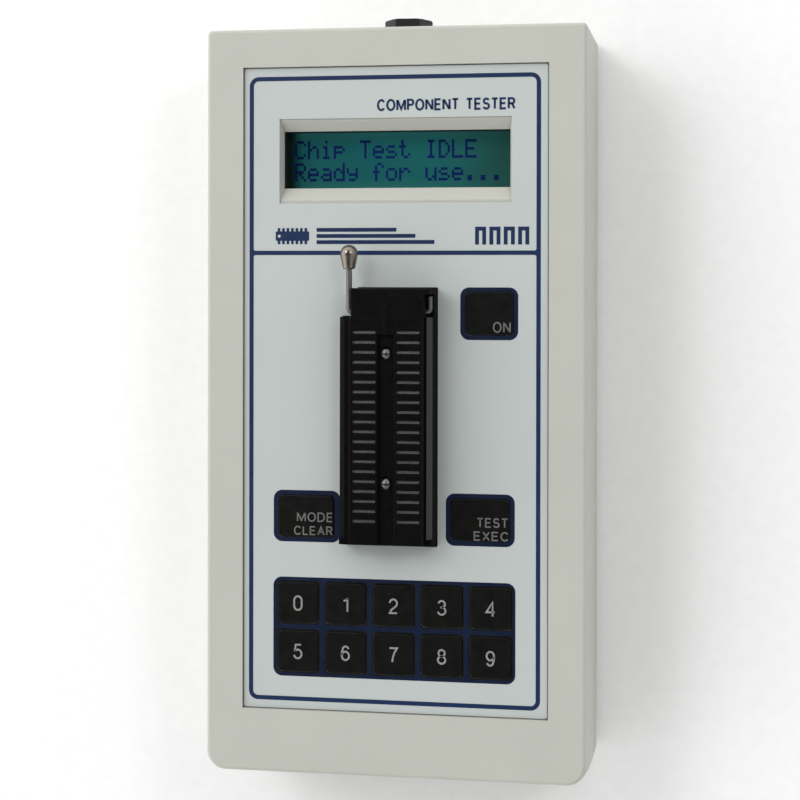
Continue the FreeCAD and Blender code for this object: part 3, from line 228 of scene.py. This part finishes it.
class Finish:
    """A node material being put together round one Principled shader."""

    def __init__(self, name, metallic=0.0, coat=0.0, coat_roughness=0.1):
        self.material = bpy.data.materials.new(name)
        self.material.use_nodes = True
        self.tree = self.material.node_tree
        self.shader = self.tree.nodes["Principled BSDF"]
        self.shader.inputs["Metallic"].default_value = metallic
        self.shader.inputs["Coat Weight"].default_value = coat
        self.shader.inputs["Coat Roughness"].default_value = coat_roughness
        self.coordinates = self.tree.nodes.new("ShaderNodeTexCoord").outputs["Object"]
        self.normal = None

    def node(self, kind, **inputs):
        """A new node with its inputs fed; an input's name has _ for a space."""
        made = self.tree.nodes.new(kind)
        for name, value in inputs.items():
            self.feed(made.inputs[name.replace("_", " ")], value)
        return made

    def feed(self, socket, value):
        """Links the socket if the value is another socket, and sets it if not."""
        if isinstance(value, bpy.types.NodeSocket):
            self.tree.links.new(value, socket)
        else:
            socket.default_value = value

    def stretched(self, scale):
        """The object's coordinates, scaled along each axis."""
        mapping = self.node("ShaderNodeMapping", Vector=self.coordinates)
        mapping.inputs["Scale"].default_value = scale
        return mapping.outputs["Vector"]

    def noise(self, size, detail=3.0, rough=0.55, stretch=None):
        """Noise whose features are about size metres across."""
        vector = self.stretched(stretch) if stretch else self.coordinates
        scale = 1.0 / size
        made = self.node("ShaderNodeTexNoise", Vector=vector, Scale=scale, Detail=detail, Roughness=rough)
        return made.outputs["Fac"]

    def spread(self, value, low, high, start=0.3, stop=0.7):
        """The value, taken from the range start to stop into the range low to high."""
        made = self.node("ShaderNodeMapRange", Value=value)
        set_range(made, start, stop, low, high)
        return made.outputs["Result"]

    def arithmetic(self, operation, first, second):
        """What a Math node makes of two values."""
        made = self.tree.nodes.new("ShaderNodeMath")
        made.operation = operation
        self.feed(made.inputs[0], first)
        self.feed(made.inputs[1], second)
        return made.outputs[0]

    def product(self, first, second):
        """One value times the other."""
        return self.arithmetic("MULTIPLY", first, second)

    def total(self, first, second):
        """The sum of two values."""
        return self.arithmetic("ADD", first, second)

    def mix(self, share, first, second):
        """The first colour where the share is 0, the second where it is 1."""
        made = self.tree.nodes.new("ShaderNodeMix")
        made.data_type = "RGBA"
        self.feed(made.inputs[0], share)
        self.feed(made.inputs[6], first)
        self.feed(made.inputs[7], second)
        return made.outputs[2]

    def varied(self, texture, colour, variation):
        """The colour, from a little darker to a little lighter as the texture rises."""
        share = self.spread(texture, 0.0, 1.0)
        return self.mix(share, shade(colour, 1 - variation), shade(colour, 1 + variation))

    def colour(self, value):
        """The surface's colour, from a colour or a socket."""
        self.feed(self.shader.inputs["Base Color"], value)

    def roughness(self, value):
        """The surface's roughness, from a number or a socket."""
        self.feed(self.shader.inputs["Roughness"], value)

    def bump(self, height, depth):
        """Relief of depth metres from a height between 0 and 1, on top of any relief made before."""
        made = self.node("ShaderNodeBump", Height=height, Strength=1.0, Distance=depth)
        if self.normal is not None:
            self.tree.links.new(self.normal, made.inputs["Normal"])
        self.normal = made.outputs["Normal"]
        self.tree.links.new(self.normal, self.shader.inputs["Normal"])

    def soften(self, radius):
        """Edges that catch the light as if they were rounded. Goes before any relief."""
        made = self.node("ShaderNodeBevel", Radius=radius)
        made.samples = SHADING_SAMPLES
        self.normal = made.outputs["Normal"]
        self.tree.links.new(self.normal, self.shader.inputs["Normal"])

    def shine(self, level):
        """How much a plain surface reflects, 0.5 being usual for plastic."""
        self.shader.inputs["Specular IOR Level"].default_value = level

    def crevices(self, reach):
        """0 in corners and seams, 1 in the open."""
        made = self.node("ShaderNodeAmbientOcclusion", Distance=reach)
        made.samples = SHADING_SAMPLES
        return made.outputs["AO"]


def shade(colour, factor):
    """The colour, lighter or darker by a factor."""
    return tuple(min(1.0, c * factor) for c in colour[:3]) + (1.0,)


def moulded_plastic(name, colour, rough=0.5, variation=0.03, grain=0.00035, grain_depth=0.000012,
                    crevice_shade=0.0, coat=0.0):
    """Injection moulded plastic: faint flow mottling, fine grain, handling marks and painted shade darkening
    the seams.
    """
    finish = Finish(name, coat=coat)
    finish.shine(0.3)
    flow = finish.noise(0.018, detail=4.0)
    tone = finish.varied(flow, colour, variation)
    if crevice_shade:
        # Painted shade: an occlusion mask darkens the colour in seams and corners.
        seam_shade = finish.spread(finish.crevices(0.0012), crevice_shade, 0.0, start=0.15, stop=0.75)
        tone = finish.mix(seam_shade, tone, shade(colour, 0.45))
    finish.colour(tone)
    handled = finish.noise(0.007, detail=5.0, rough=0.7)
    finish.roughness(finish.spread(handled, rough - 0.07, rough + 0.07))
    finish.bump(finish.noise(grain, detail=2.0, rough=0.6), grain_depth)
    return finish


def metal(name, colour, rough, brushed=(1.0, 1.0, 1.0)):
    """Plated or brushed metal: streaks along one direction, tarnish and fine scratches."""
    finish = Finish(name, metallic=1.0)
    tarnish = finish.noise(0.004, detail=5.0, rough=0.7)
    finish.colour(finish.varied(tarnish, colour, 0.08))
    streak = finish.noise(0.0006, detail=3.0, stretch=brushed)
    finish.roughness(finish.spread(streak, rough * 0.75, rough * 1.3))
    finish.bump(streak, 0.000006)
    return finish


def ink(name, colour):
    """Screen printed ink: slightly uneven coverage with a stippled surface."""
    finish = Finish(name)
    finish.shine(0.2)
    cover = finish.noise(0.0016, detail=4.0, rough=0.65)
    finish.colour(finish.mix(finish.spread(cover, 0.0, 1.0), shade(colour, 0.9), shade(colour, 1.12)))
    wear = finish.noise(0.005, detail=4.0)
    finish.roughness(finish.spread(wear, 0.36, 0.50))
    stipple = finish.noise(0.00022, detail=2.0)
    finish.bump(stipple, 0.000004)
    return finish


# Colours, as shares of red, green and blue in linear light.
CASE_COLOUR = (0.460, 0.465, 0.417)
PANEL_COLOUR = (0.466, 0.503, 0.491)
NAVY = (0.010, 0.024, 0.075)
FIELD_BLUE = (0.0028, 0.0088, 0.0300)
KEY_BLACK = (0.0038, 0.0039, 0.0034)
RIM_BLACK = (0.0036, 0.0038, 0.0036)
SOCKET_BLACK = (0.0028, 0.0029, 0.0027)
# Painted highlight colour for the socket's right chamfer.
CHAMFER_HIGHLIGHT_GREY = (0.047, 0.050, 0.050, 1.0)
DOT_BLUE = (0.005, 0.020, 0.118)
LEGEND_GREY = (0.25, 0.25, 0.245)
LABEL_GREY = (0.15, 0.15, 0.145)
GLASS_TEAL = (0.0050, 0.076, 0.083, 1.0)
GLASS_EDGES = (0.018, 0.098, 0.096, 1.0)
GLASS_RIGHT = (0.013, 0.053, 0.043, 1.0)
GLASS_CLOUD = (0.012, 0.100, 0.085, 1.0)
GLASS_SHADOW = (0.002, 0.010, 0.010, 1.0)
GLASS_GLOW = 0.43
BOARD_GREENS = ((0.010, 0.075, 0.025, 1.0), (0.012, 0.09, 0.03, 1.0))
TRACK_GREEN = (0.02, 0.16, 0.05, 1.0)
JACKET_GREYS = ((0.05, 0.055, 0.06, 1.0), (0.075, 0.08, 0.085, 1.0))

# The painted highlight along the test socket's right ledge, in metres.
LEDGE_WIDTH = 0.0020
LEDGE_FADE = 0.0003

# What moulded_plastic is given for each slot of plain plastic, film or rubber.
PLASTICS = {
    "case_plastic": {"colour": CASE_COLOUR, "rough": 0.52, "variation": 0.018, "crevice_shade": 0.6},
    "switch_film": {"colour": (0.7, 0.7, 0.66), "rough": 0.4},
    "tail_film": {"colour": (0.5, 0.26, 0.06), "rough": 0.3},
    "black_plastic": {"colour": (0.012, 0.012, 0.012), "rough": 0.45, "variation": 0.15},
    "part_plastic": {"colour": (0.66, 0.62, 0.5), "rough": 0.4},
    "chip_plastic": {"colour": (0.016, 0.016, 0.018), "rough": 0.55},
    "network_coating": {"colour": (0.35, 0.13, 0.03), "rough": 0.25, "coat": 0.4},
    "capacitor_sleeve": {"colour": (0.02, 0.03, 0.11), "rough": 0.3, "coat": 0.3},
    "backlight_plastic": {"colour": (0.4, 0.6, 0.52), "rough": 0.35},
    "foot_rubber": {"colour": (0.02, 0.02, 0.02), "rough": 0.8, "variation": 0.2,
                    "grain": 0.0005, "grain_depth": 0.00003},
    "red_lead": {"colour": (0.45, 0.015, 0.012), "rough": 0.4},
    "black_lead": {"colour": (0.015, 0.015, 0.015), "rough": 0.4},
}

# What metal is given for each slot of bare metal.
METALS = {
    "screw_steel": {"colour": (0.5, 0.5, 0.48), "rough": 0.35},
    "spring_steel": {"colour": (0.55, 0.55, 0.54), "rough": 0.3},
    "frame_metal": {"colour": (0.03, 0.03, 0.032), "rough": 0.5},
    "can_metal": {"colour": (0.62, 0.62, 0.6), "rough": 0.25},
    "bright_metal": {"colour": (0.215, 0.19, 0.162), "rough": 0.22, "brushed": (1.0, 0.15, 1.0)},
    "lever_steel": {"colour": (0.16, 0.16, 0.155), "rough": 0.48},
    "dark_screw": {"colour": (0.13, 0.13, 0.125), "rough": 0.3},
    "contact_metal": {"colour": (0.19, 0.19, 0.178), "rough": 0.45},
    "pin_metal": {"colour": (0.7, 0.62, 0.42), "rough": 0.3},
}

# The colour of each ink on the panel and the keys.
INKS = {
    "navy_ink": NAVY,
    "field_ink": FIELD_BLUE,
    "rim_ink": RIM_BLACK,
    "legend_ink": LEGEND_GREY,
    "label_ink": LABEL_GREY,
}

finishes = {}


def make_finishes():
    """One finish for each material slot of the record, and those of the printing and the display's dots."""
    for name, look in PLASTICS.items():
        finishes[name] = moulded_plastic(name, **look)
    for name, look in METALS.items():
        finishes[name] = metal(name, **look)
    for name, colour in INKS.items():
        finishes[name] = ink(name, colour)
    finishes["overlay_film"] = make_overlay_film()
    finishes["key_film"] = make_key_film()
    finishes["socket_plastic"] = make_socket_plastic()
    finishes["circuit_board"] = make_circuit_board()
    finishes["display_glass"] = make_display_glass()
    finishes["display_dots"] = make_display_dots()
    finishes["cell_jacket"] = make_cell_jacket()


def make_overlay_film():
    """Printed plastic sheet: finely textured, slightly wavy, rubbed along its length."""
    film = Finish("overlay_film")
    film.shine(0.3)
    film.colour(film.varied(film.noise(0.03), PANEL_COLOUR, 0.015))
    rub = film.noise(0.006, detail=6.0, rough=0.75, stretch=(1.0, 0.35, 1.0))
    film.roughness(film.spread(rub, 0.36, 0.46))
    texture = film.noise(0.0004, detail=2.0)
    film.bump(texture, 0.000005)
    waves = film.noise(0.009, detail=1.0)
    film.bump(waves, 0.00001)
    return film


def make_key_film():
    """Black printed film over a key, with the marks of fingers."""
    pad = Finish("key_film")
    pad.shine(0.15)
    touch = pad.noise(0.0035, detail=5.0, rough=0.7)
    pad.colour(pad.varied(touch, KEY_BLACK, 0.22))
    pad.roughness(pad.spread(touch, 0.34, 0.46))
    texture = pad.noise(0.0003, detail=2.0)
    pad.bump(texture, 0.000006)
    return pad


def make_circuit_board():
    """Green lacquer over a pattern of tracks."""
    board = Finish("circuit_board", coat=0.5)
    tracks = board.node("ShaderNodeTexBrick", Vector=board.coordinates, Scale=180.0, Mortar_Size=0.02,
                        Brick_Width=0.9, Row_Height=0.25, Mortar=TRACK_GREEN,
                        Color1=BOARD_GREENS[0], Color2=BOARD_GREENS[1])
    board.colour(tracks.outputs["Color"])
    board.roughness(board.spread(board.noise(0.004), 0.3, 0.45))
    board.bump(tracks.outputs["Fac"], 0.00002)
    return board


def make_cell_jacket():
    """Dark printed sleeve of a battery cell."""
    cell = Finish("cell_jacket", coat=0.4)
    wrap = cell.noise(0.004, detail=4.0)
    cell.colour(cell.mix(cell.spread(wrap, 0.0, 1.0), *JACKET_GREYS))
    cell.roughness(cell.spread(wrap, 0.25, 0.4))
    cell.bump(cell.noise(0.0008), 0.00001)
    return cell


def make_display_dots():
    """Blue dots of the liquid crystal, a little uneven."""
    dots = Finish("display_dots")
    dots.shine(0.1)
    dots.colour(dots.varied(dots.noise(0.02, detail=2.0), DOT_BLUE, 0.12))
    dots.roughness(dots.spread(dots.noise(0.002), 0.2, 0.3))
    return dots


def make_socket_plastic():
    """Glass filled black plastic: matt on its sides, with a painted grey highlight along the right ledge's
    chamfer.
    """
    socket = Finish("socket_plastic")
    socket.shine(0.11)
    socket.soften(0.0002)
    fibre = socket.noise(0.0006, detail=6.0, rough=0.75, stretch=(1.0, 0.4, 1.0))
    mottled = socket.varied(fibre, SOCKET_BLACK, 0.35)
    normal = socket.tree.nodes.new("ShaderNodeNewGeometry").outputs["Normal"]
    facing = socket.node("ShaderNodeSeparateXYZ", Vector=normal)
    # Painted highlight: the right ledge's chamfer is painted grey, as though it catches the light.
    socket.colour(socket.mix(rubbed_chamfer(socket, facing), mottled, CHAMFER_HIGHLIGHT_GREY))
    upright = socket.spread(facing.outputs["Z"], 0.7, 0.0, start=0.15, stop=0.5)
    leftward = socket.spread(facing.outputs["X"], 0.6, 0.0, start=-0.65, stop=-0.4)
    polish = socket.spread(socket.noise(0.003, detail=5.0, rough=0.7), 0.26, 0.38)
    socket.roughness(socket.total(polish, socket.total(upright, leftward)))
    socket.bump(fibre, 0.000004)
    return socket


def rubbed_chamfer(socket, facing):
    """Painted highlight mask: 1 where the surface faces up and right at a slant on the base's right ledge, 0
    elsewhere.
    """
    place = socket.node("ShaderNodeSeparateXYZ", Vector=socket.coordinates)
    ledge_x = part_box("zif_base")[1].x - LEDGE_WIDTH
    on_ledge = socket.spread(place.outputs["X"], 0.0, 1.0, start=ledge_x, stop=ledge_x + LEDGE_FADE)
    sloping = socket.spread(facing.outputs["X"], 0.0, 1.0, start=0.58, stop=0.66)
    upward = socket.spread(facing.outputs["Z"], 0.0, 1.0, start=0.60, stop=0.68)
    return socket.product(socket.product(sloping, upward), on_ledge)


def make_display_glass():
    """Backlit teal field, brighter along its upper and lower edges, with a painted shadow beside the frame.
    """
    glass = Finish("display_glass", coat=0.05, coat_roughness=0.2)
    glass.shine(0.08)
    place = glass.node("ShaderNodeSeparateXYZ", Vector=glass.coordinates)
    low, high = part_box("lcd_glass")
    away = glass.arithmetic("SUBTRACT", place.outputs["Y"], (low.y + high.y) / 2)
    distance = glass.arithmetic("ABSOLUTE", away, 0.0)
    edges = glass.spread(distance, 0.0, 1.0, start=0.0042, stop=0.0078)
    lit = glass.mix(edges, GLASS_TEAL, GLASS_EDGES)
    rightward = glass.spread(place.outputs["X"], 0.0, 1.0, start=0.010, stop=0.029)
    toned = glass.mix(rightward, lit, GLASS_RIGHT)
    cloud = glass.spread(glass.noise(0.014, detail=2.0), 0.0, 0.35)
    clouded = glass.mix(cloud, toned, GLASS_CLOUD)
    # Painted shadow: the glass is darker, and glows less, next to the frame on its left.
    frame_shadow = glass.spread(place.outputs["X"], 1.0, 0.0, start=-0.0295, stop=-0.0268)
    final = glass.mix(frame_shadow, clouded, GLASS_SHADOW)
    glass.colour(final)
    glass.feed(glass.shader.inputs["Emission Color"], final)
    glass.shader.inputs["Emission Strength"].default_value = GLASS_GLOW
    glass.roughness(glass.spread(glass.noise(0.003), 0.3, 0.45))
    return glass


def dress_nodes():
    """Every CAD node takes the finish of its slot."""
    for part in record["subparts"]:
        node = nodes[part["node"]]
        material = finishes[part["material_slot"]].material
        if not node.data.materials:
            node.data.materials.append(material)
        for place in node.material_slots:
            place.material = material


# ---------------------------------------------------------------- pieces

def add_piece(name, mesh, finish, body):
    """The mesh as a piece with one finish, riding on a body."""
    mesh.name = name
    piece = bpy.data.objects.new(name, mesh)
    bpy.context.scene.collection.objects.link(piece)
    mesh.materials.clear()
    mesh.materials.append(finishes[finish].material)
    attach(piece, body)


def rounded_outline(x0, y0, x1, y1, upper, lower=None):
    """Corner points of a rectangle in millimetres, anticlockwise; upper and lower are its corner radii."""
    if lower is None:
        lower = upper
    points = arc(x1 - upper, y1 - upper, upper, upper, 0, 90, CORNER_STEPS)
    points += arc(x0 + upper, y1 - upper, upper, upper, 90, 180, CORNER_STEPS)
    points += arc(x0 + lower, y0 + lower, lower, lower, 180, 270, CORNER_STEPS)
    points += arc(x1 - lower, y0 + lower, lower, lower, 270, 360, CORNER_STEPS)
    return points


def mesh_of(curve):
    """The curve's mesh, with the curve itself removed."""
    holder = bpy.data.objects.new(curve.name, curve)
    bpy.context.scene.collection.objects.link(holder)
    bpy.context.view_layer.update()
    mesh = bpy.data.meshes.new_from_object(holder.evaluated_get(bpy.context.evaluated_depsgraph_get()))
    bpy.data.objects.remove(holder)
    return mesh


def printed_shape(name, outlines, finish):
    """Flat printed shape with holes, standing on the panel. Outlines are in millimetres on the case."""
    curve = bpy.data.curves.new(name, "CURVE")
    curve.dimensions = "2D"
    curve.fill_mode = "BOTH"
    curve.extrude = INK_HEIGHT * MM / 2
    for outline in outlines:
        spline = curve.splines.new("POLY")
        spline.points.add(len(outline) - 1)
        for point, (x, y) in zip(spline.points, outline):
            spot = on_case(x, y)
            point.co = (spot.x, spot.y, 0.0, 1.0)
        spline.use_cyclic_u = True
    mesh = mesh_of(curve)
    mesh.transform(Matrix.Translation((0, 0, PANEL_Z + INK_HEIGHT * MM / 2)))
    add_piece(name, mesh, finish, "case")


def ribbon(form, points, thick, low_z, high_z):
    """Line of even thickness through points in millimetres on the case, standing between two heights."""
    closed = math.dist(points[0], points[-1]) < SAME_POINT
    if closed:
        points = points[:-1]
    count = len(points)
    rings = []
    for index, (x, y) in enumerate(points):
        before = points[index - 1] if closed or index else None
        after = points[(index + 1) % count] if closed or index < count - 1 else None
        first = Vector((x, y)) - Vector(before) if before else Vector(after) - Vector((x, y))
        second = Vector(after) - Vector((x, y)) if after else first
        first = first.normalized()
        second = second.normalized()
        across = Vector((-first.y - second.y, first.x + second.x)).normalized()
        reach = thick / 2 / max(MITRE_LIMIT, across.dot(Vector((-second.y, second.x))))
        left = (x + across.x * reach, y + across.y * reach)
        right = (x - across.x * reach, y - across.y * reach)
        ring = ((left, low_z), (left, high_z), (right, high_z), (right, low_z))
        rings.append([form.verts.new(on_case(*spot, z)) for spot, z in ring])
    pairs = list(zip(rings, rings[1:])) + ([(rings[-1], rings[0])] if closed else [])
    for one, other in pairs:
        for side in range(4):
            form.faces.new((one[side], one[side - 3], other[side - 3], other[side]))
    if not closed:
        form.faces.new(rings[0])
        form.faces.new(rings[-1][::-1])


def lettering(name, text, box, surface_z, finish, body, thick):
    """Plain lettering that fills a box x0, y0, x1, y1 in millimetres, standing on a surface."""
    x0, y0, x1, y1 = box
    widths = [STROKES[letter][0] for letter in text]
    across = (x1 - x0 - thick) / (sum(widths) + LETTER_GAP * (len(text) - 1))
    up = y1 - y0 - thick
    form = bmesh.new()
    start = x0 + thick / 2
    for letter, width in zip(text, widths):
        for stroke in STROKES[letter][1]:
            points = [(start + x * across, y0 + thick / 2 + y * up) for x, y in stroke]
            ribbon(form, points, thick, surface_z, surface_z + INK_HEIGHT * MM)
        start += (width + LETTER_GAP) * across
    bmesh.ops.recalc_face_normals(form, faces=form.faces)
    mesh = bpy.data.meshes.new(name)
    form.to_mesh(mesh)
    form.free()
    add_piece(name, mesh, finish, body)


def frame_line():
    """Navy line round the panel, with the line that divides the display's part from the keys'."""
    half = LINE_WIDTH / 2
    low, high = FRAME_Y
    left, right = FRAME_X
    outer = rounded_outline(left - half, low - half, right + half, high + half, FRAME_CORNER + half)
    inner = FRAME_CORNER - half
    upper = rounded_outline(left + half, DIVIDER_Y + half, right - half, high - half, inner, DIVIDER_CORNER)
    lower = rounded_outline(left + half, low + half, right - half, DIVIDER_Y - half, DIVIDER_CORNER, inner)
    printed_shape("frame_line", [outer, upper, lower], "navy_ink")


def pad_outline(node, gap):
    """Outline round a key, at a distance from it in millimetres."""
    low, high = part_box(node)
    x0, x1 = low.x / MM - gap, high.x / MM + gap
    y0, y1 = (low.y - CASE_Y) / MM - gap, (high.y - CASE_Y) / MM + gap
    return rounded_outline(x0, y0, x1, y1, PAD_CORNER)


def key_fields():
    """Blue fields round the keys, with a black rim round each number's key."""
    digits = [f"key_{digit}" for digit in range(10)]
    rims = [pad_outline(node, PAD_GAP + RIM_WIDTH) for node in digits]
    whole = rounded_outline(*KEYPAD_FIELD, FIELD_CORNER)
    printed_shape("keypad_field", [whole] + rims, "field_ink")
    for node, field in KEY_FIELDS.items():
        outlines = [rounded_outline(*field, FIELD_CORNER), pad_outline(node, PAD_GAP)]
        printed_shape(f"field_{node}", outlines, "field_ink")
    for node in digits:
        outlines = [pad_outline(node, PAD_GAP + RIM_WIDTH), pad_outline(node, PAD_GAP)]
        printed_shape(f"rim_{node}", outlines, "rim_ink")


def key_legends():
    """A number on each digit's key, and words on the other three."""
    for digit in range(10):
        node = f"key_{digit}"
        low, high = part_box(node)
        x = (low.x + high.x) / 2 / MM
        y = ((low.y + high.y) / 2 - CASE_Y) / MM - DIGIT_DROP
        width = DIGIT_THICKNESS + STROKES[str(digit)][0] * (DIGIT_HEIGHT - DIGIT_THICKNESS)
        box = (x - width / 2, y - DIGIT_HEIGHT / 2, x + width / 2, y + DIGIT_HEIGHT / 2)
        lettering(f"digit_{digit}", str(digit), box, KEY_Z, "legend_ink", node, DIGIT_THICKNESS)
    for name, word, box, node in LEGENDS:
        lettering(name, word, box, KEY_Z, "label_ink", node, LEGEND_THICKNESS)


def panel_title():
    """The object's generic name at the panel's upper right."""
    lettering("panel_title", "COMPONENT TESTER", TITLE_BOX, PANEL_Z, "navy_ink", "case", TITLE_THICKNESS)


def bar(x0, y0, x1, y1):
    """Outline of a plain bar."""
    return [(x0, y0), (x1, y0), (x1, y1), (x0, y1)]


def panel_marks():
    """Plain marks: a chip with its pins beside three bars, and a square wave."""
    low, high = MARKS_Y
    left, right = CHIP_X
    middle = (low + high) / 2
    belly, back = middle - CHIP_HALF_WIDTH, middle + CHIP_HALF_WIDTH
    body = rounded_outline(left, belly, right, back, CHIP_CORNER)
    notch_x = left + CHIP_END
    notch_half = NOTCH_LENGTH / 2
    notch = rounded_outline(notch_x, middle - notch_half, notch_x + NOTCH_LENGTH, middle + notch_half,
                            NOTCH_CORNER)
    printed_shape("mark_chip", [body, notch], "navy_ink")

    pins = []
    pitch = (right - left - 2 * CHIP_END - CHIP_PIN_WIDTH) / (CHIP_PINS - 1)
    for index in range(CHIP_PINS):
        x = left + CHIP_END + index * pitch
        pins.append(bar(x, low + MARKS_INSET, x + CHIP_PIN_WIDTH, belly))
        pins.append(bar(x, back, x + CHIP_PIN_WIDTH, high - MARKS_INSET))
    printed_shape("mark_pins", pins, "navy_ink")

    half = BAR_THICKNESS / 2
    levels = (low + MARKS_INSET + half, middle, high - MARKS_INSET - half)
    bars = [bar(BARS_LEFT, level - half, right_end, level + half)
            for level, right_end in zip(levels, BARS_RIGHT)]
    printed_shape("mark_bars", bars, "navy_ink")
    printed_shape("mark_wave", square_wave(*WAVE_X, low, high, BAR_THICKNESS, WAVE_PULSES), "navy_ink")


def square_wave(x0, x1, low, high, thick, pulses):
    """Bars of a square wave line."""
    period = (x1 - x0 - thick) / (pulses - 0.5)
    parts = []
    x = x0
    for _ in range(pulses):
        parts.append([(x, low), (x + thick, low), (x + thick, high - thick), (x + period / 2, high - thick),
                      (x + period / 2, low), (x + period / 2 + thick, low), (x + period / 2 + thick, high),
                      (x, high)])
        x += period
    return parts


def display_text():
    """Dots of the characters on the display."""
    form = bmesh.new()
    width, height = DOT_SIZE
    for row, line in enumerate(DISPLAY_LINES):
        for column, letter in enumerate(line):
            for down, dots in enumerate(GLYPHS[letter]):
                y = TEXT_TOP - row * CELL_Y - down * DOT_PITCH[1]
                for along in [index for index, dot in enumerate(dots) if dot == "#"]:
                    x = TEXT_LEFT + column * CELL_X + along * DOT_PITCH[0]
                    low = on_case(x, y - height, GLASS_Z)
                    high = on_case(x + width, y, GLASS_Z + DOT_HEIGHT * MM)
                    add_block(form, low, high)
    mesh = bpy.data.meshes.new("display_characters")
    form.to_mesh(mesh)
    form.free()
    add_piece("display_characters", mesh, "display_dots", "case")


def add_block(form, low, high):
    """Closed block between two corners."""
    size = high - low
    middle = (high + low) / 2
    fit = Matrix.Translation(middle) @ Matrix.Diagonal((size.x, size.y, size.z, 1.0))
    bmesh.ops.create_cube(form, size=1.0, matrix=fit)


# ---------------------------------------------------------------- studio

def make_camera():
    """Camera in front of the case, a little to the right of its middle."""
    data = bpy.data.cameras.new("camera")
    data.sensor_width = CAMERA_SENSOR
    data.lens = CAMERA_LENS
    data.shift_y = CAMERA_SHIFT
    data.clip_start = CAMERA_NEAREST
    camera = bpy.data.objects.new("camera", data)
    bpy.context.scene.collection.objects.link(camera)
    turn = Matrix.Rotation(math.radians(CAMERA_TURN), 4, "Y")
    tilt = Matrix.Rotation(math.radians(CAMERA_TILT), 4, "X")
    roll = Matrix.Rotation(math.radians(CAMERA_ROLL), 4, "Z")
    place = Vector(CAMERA_PLACE) + Vector((0, CASE_Y, FRONT_Z))
    camera.matrix_world = Matrix.Translation(place) @ turn @ tilt @ roll
    bpy.context.scene.camera = camera


def soft_light(name, place, size, power):
    """Square lamp that faces the object."""
    data = bpy.data.lights.new(name, "AREA")
    data.shape = "SQUARE"
    data.size = size
    data.energy = power
    lamp = bpy.data.objects.new(name, data)
    bpy.context.scene.collection.objects.link(lamp)
    lamp.location = place
    lamp.rotation_euler = (-Vector(place)).to_track_quat("-Z", "Y").to_euler()


def make_floor():
    """Wide sheet of white paper under the object."""
    mesh = bpy.data.meshes.new("floor")
    form = bmesh.new()
    bmesh.ops.create_grid(form, x_segments=1, y_segments=1, size=FLOOR_HALF)
    form.to_mesh(mesh)
    form.free()
    floor = bpy.data.objects.new("floor", mesh)
    bpy.context.scene.collection.objects.link(floor)
    paper = Finish("floor_paper")
    fibre = paper.noise(0.004, detail=5.0)
    paper.colour(paper.mix(paper.spread(fibre, 0.0, 1.0), *FLOOR_WHITES))
    paper.roughness(paper.spread(fibre, 0.8, 0.95))
    mesh.materials.append(paper.material)


def make_sky():
    """Studio round the object: dark overhead, bright towards the horizon, brightest at the upper left."""
    world = bpy.data.worlds.new("studio")
    bpy.context.scene.world = world
    world.use_nodes = True
    tree = world.node_tree
    sky = tree.nodes["Background"]
    sky.inputs["Color"].default_value = (1.0, 1.0, 1.0, 1.0)
    direction = tree.nodes.new("ShaderNodeTexCoord").outputs["Generated"]
    lift = tree.nodes.new("ShaderNodeSeparateXYZ")
    tree.links.new(direction, lift.inputs["Vector"])
    ring = tree.nodes.new("ShaderNodeMapRange")
    ring.interpolation_type = "SMOOTHSTEP"
    tree.links.new(lift.outputs["Z"], ring.inputs["Value"])
    set_range(ring, *SKY_FADE, SKY_OVERHEAD, SKY_HORIZON)
    side = tree.nodes.new("ShaderNodeVectorMath")
    side.operation = "DOT_PRODUCT"
    tree.links.new(direction, side.inputs[0])
    side.inputs[1].default_value = SKY_SIDE
    uneven = tree.nodes.new("ShaderNodeMapRange")
    tree.links.new(side.outputs["Value"], uneven.inputs["Value"])
    set_range(uneven, -1.0, 1.0, 1.0 - SKY_UNEVEN, 1.0 + SKY_UNEVEN)
    strength = tree.nodes.new("ShaderNodeMath")
    strength.operation = "MULTIPLY"
    tree.links.new(ring.outputs["Result"], strength.inputs[0])
    tree.links.new(uneven.outputs["Result"], strength.inputs[1])
    tree.links.new(strength.outputs[0], sky.inputs["Strength"])


make_finishes()
dress_nodes()
frame_line()
key_fields()
key_legends()
panel_title()
panel_marks()
display_text()
make_camera()
make_floor()
soft_light("key_light", **KEY_LIGHT)
soft_light("fill_light", **FILL_LIGHT)
make_sky()
bpy.context.scene.view_settings.view_transform = "Standard"
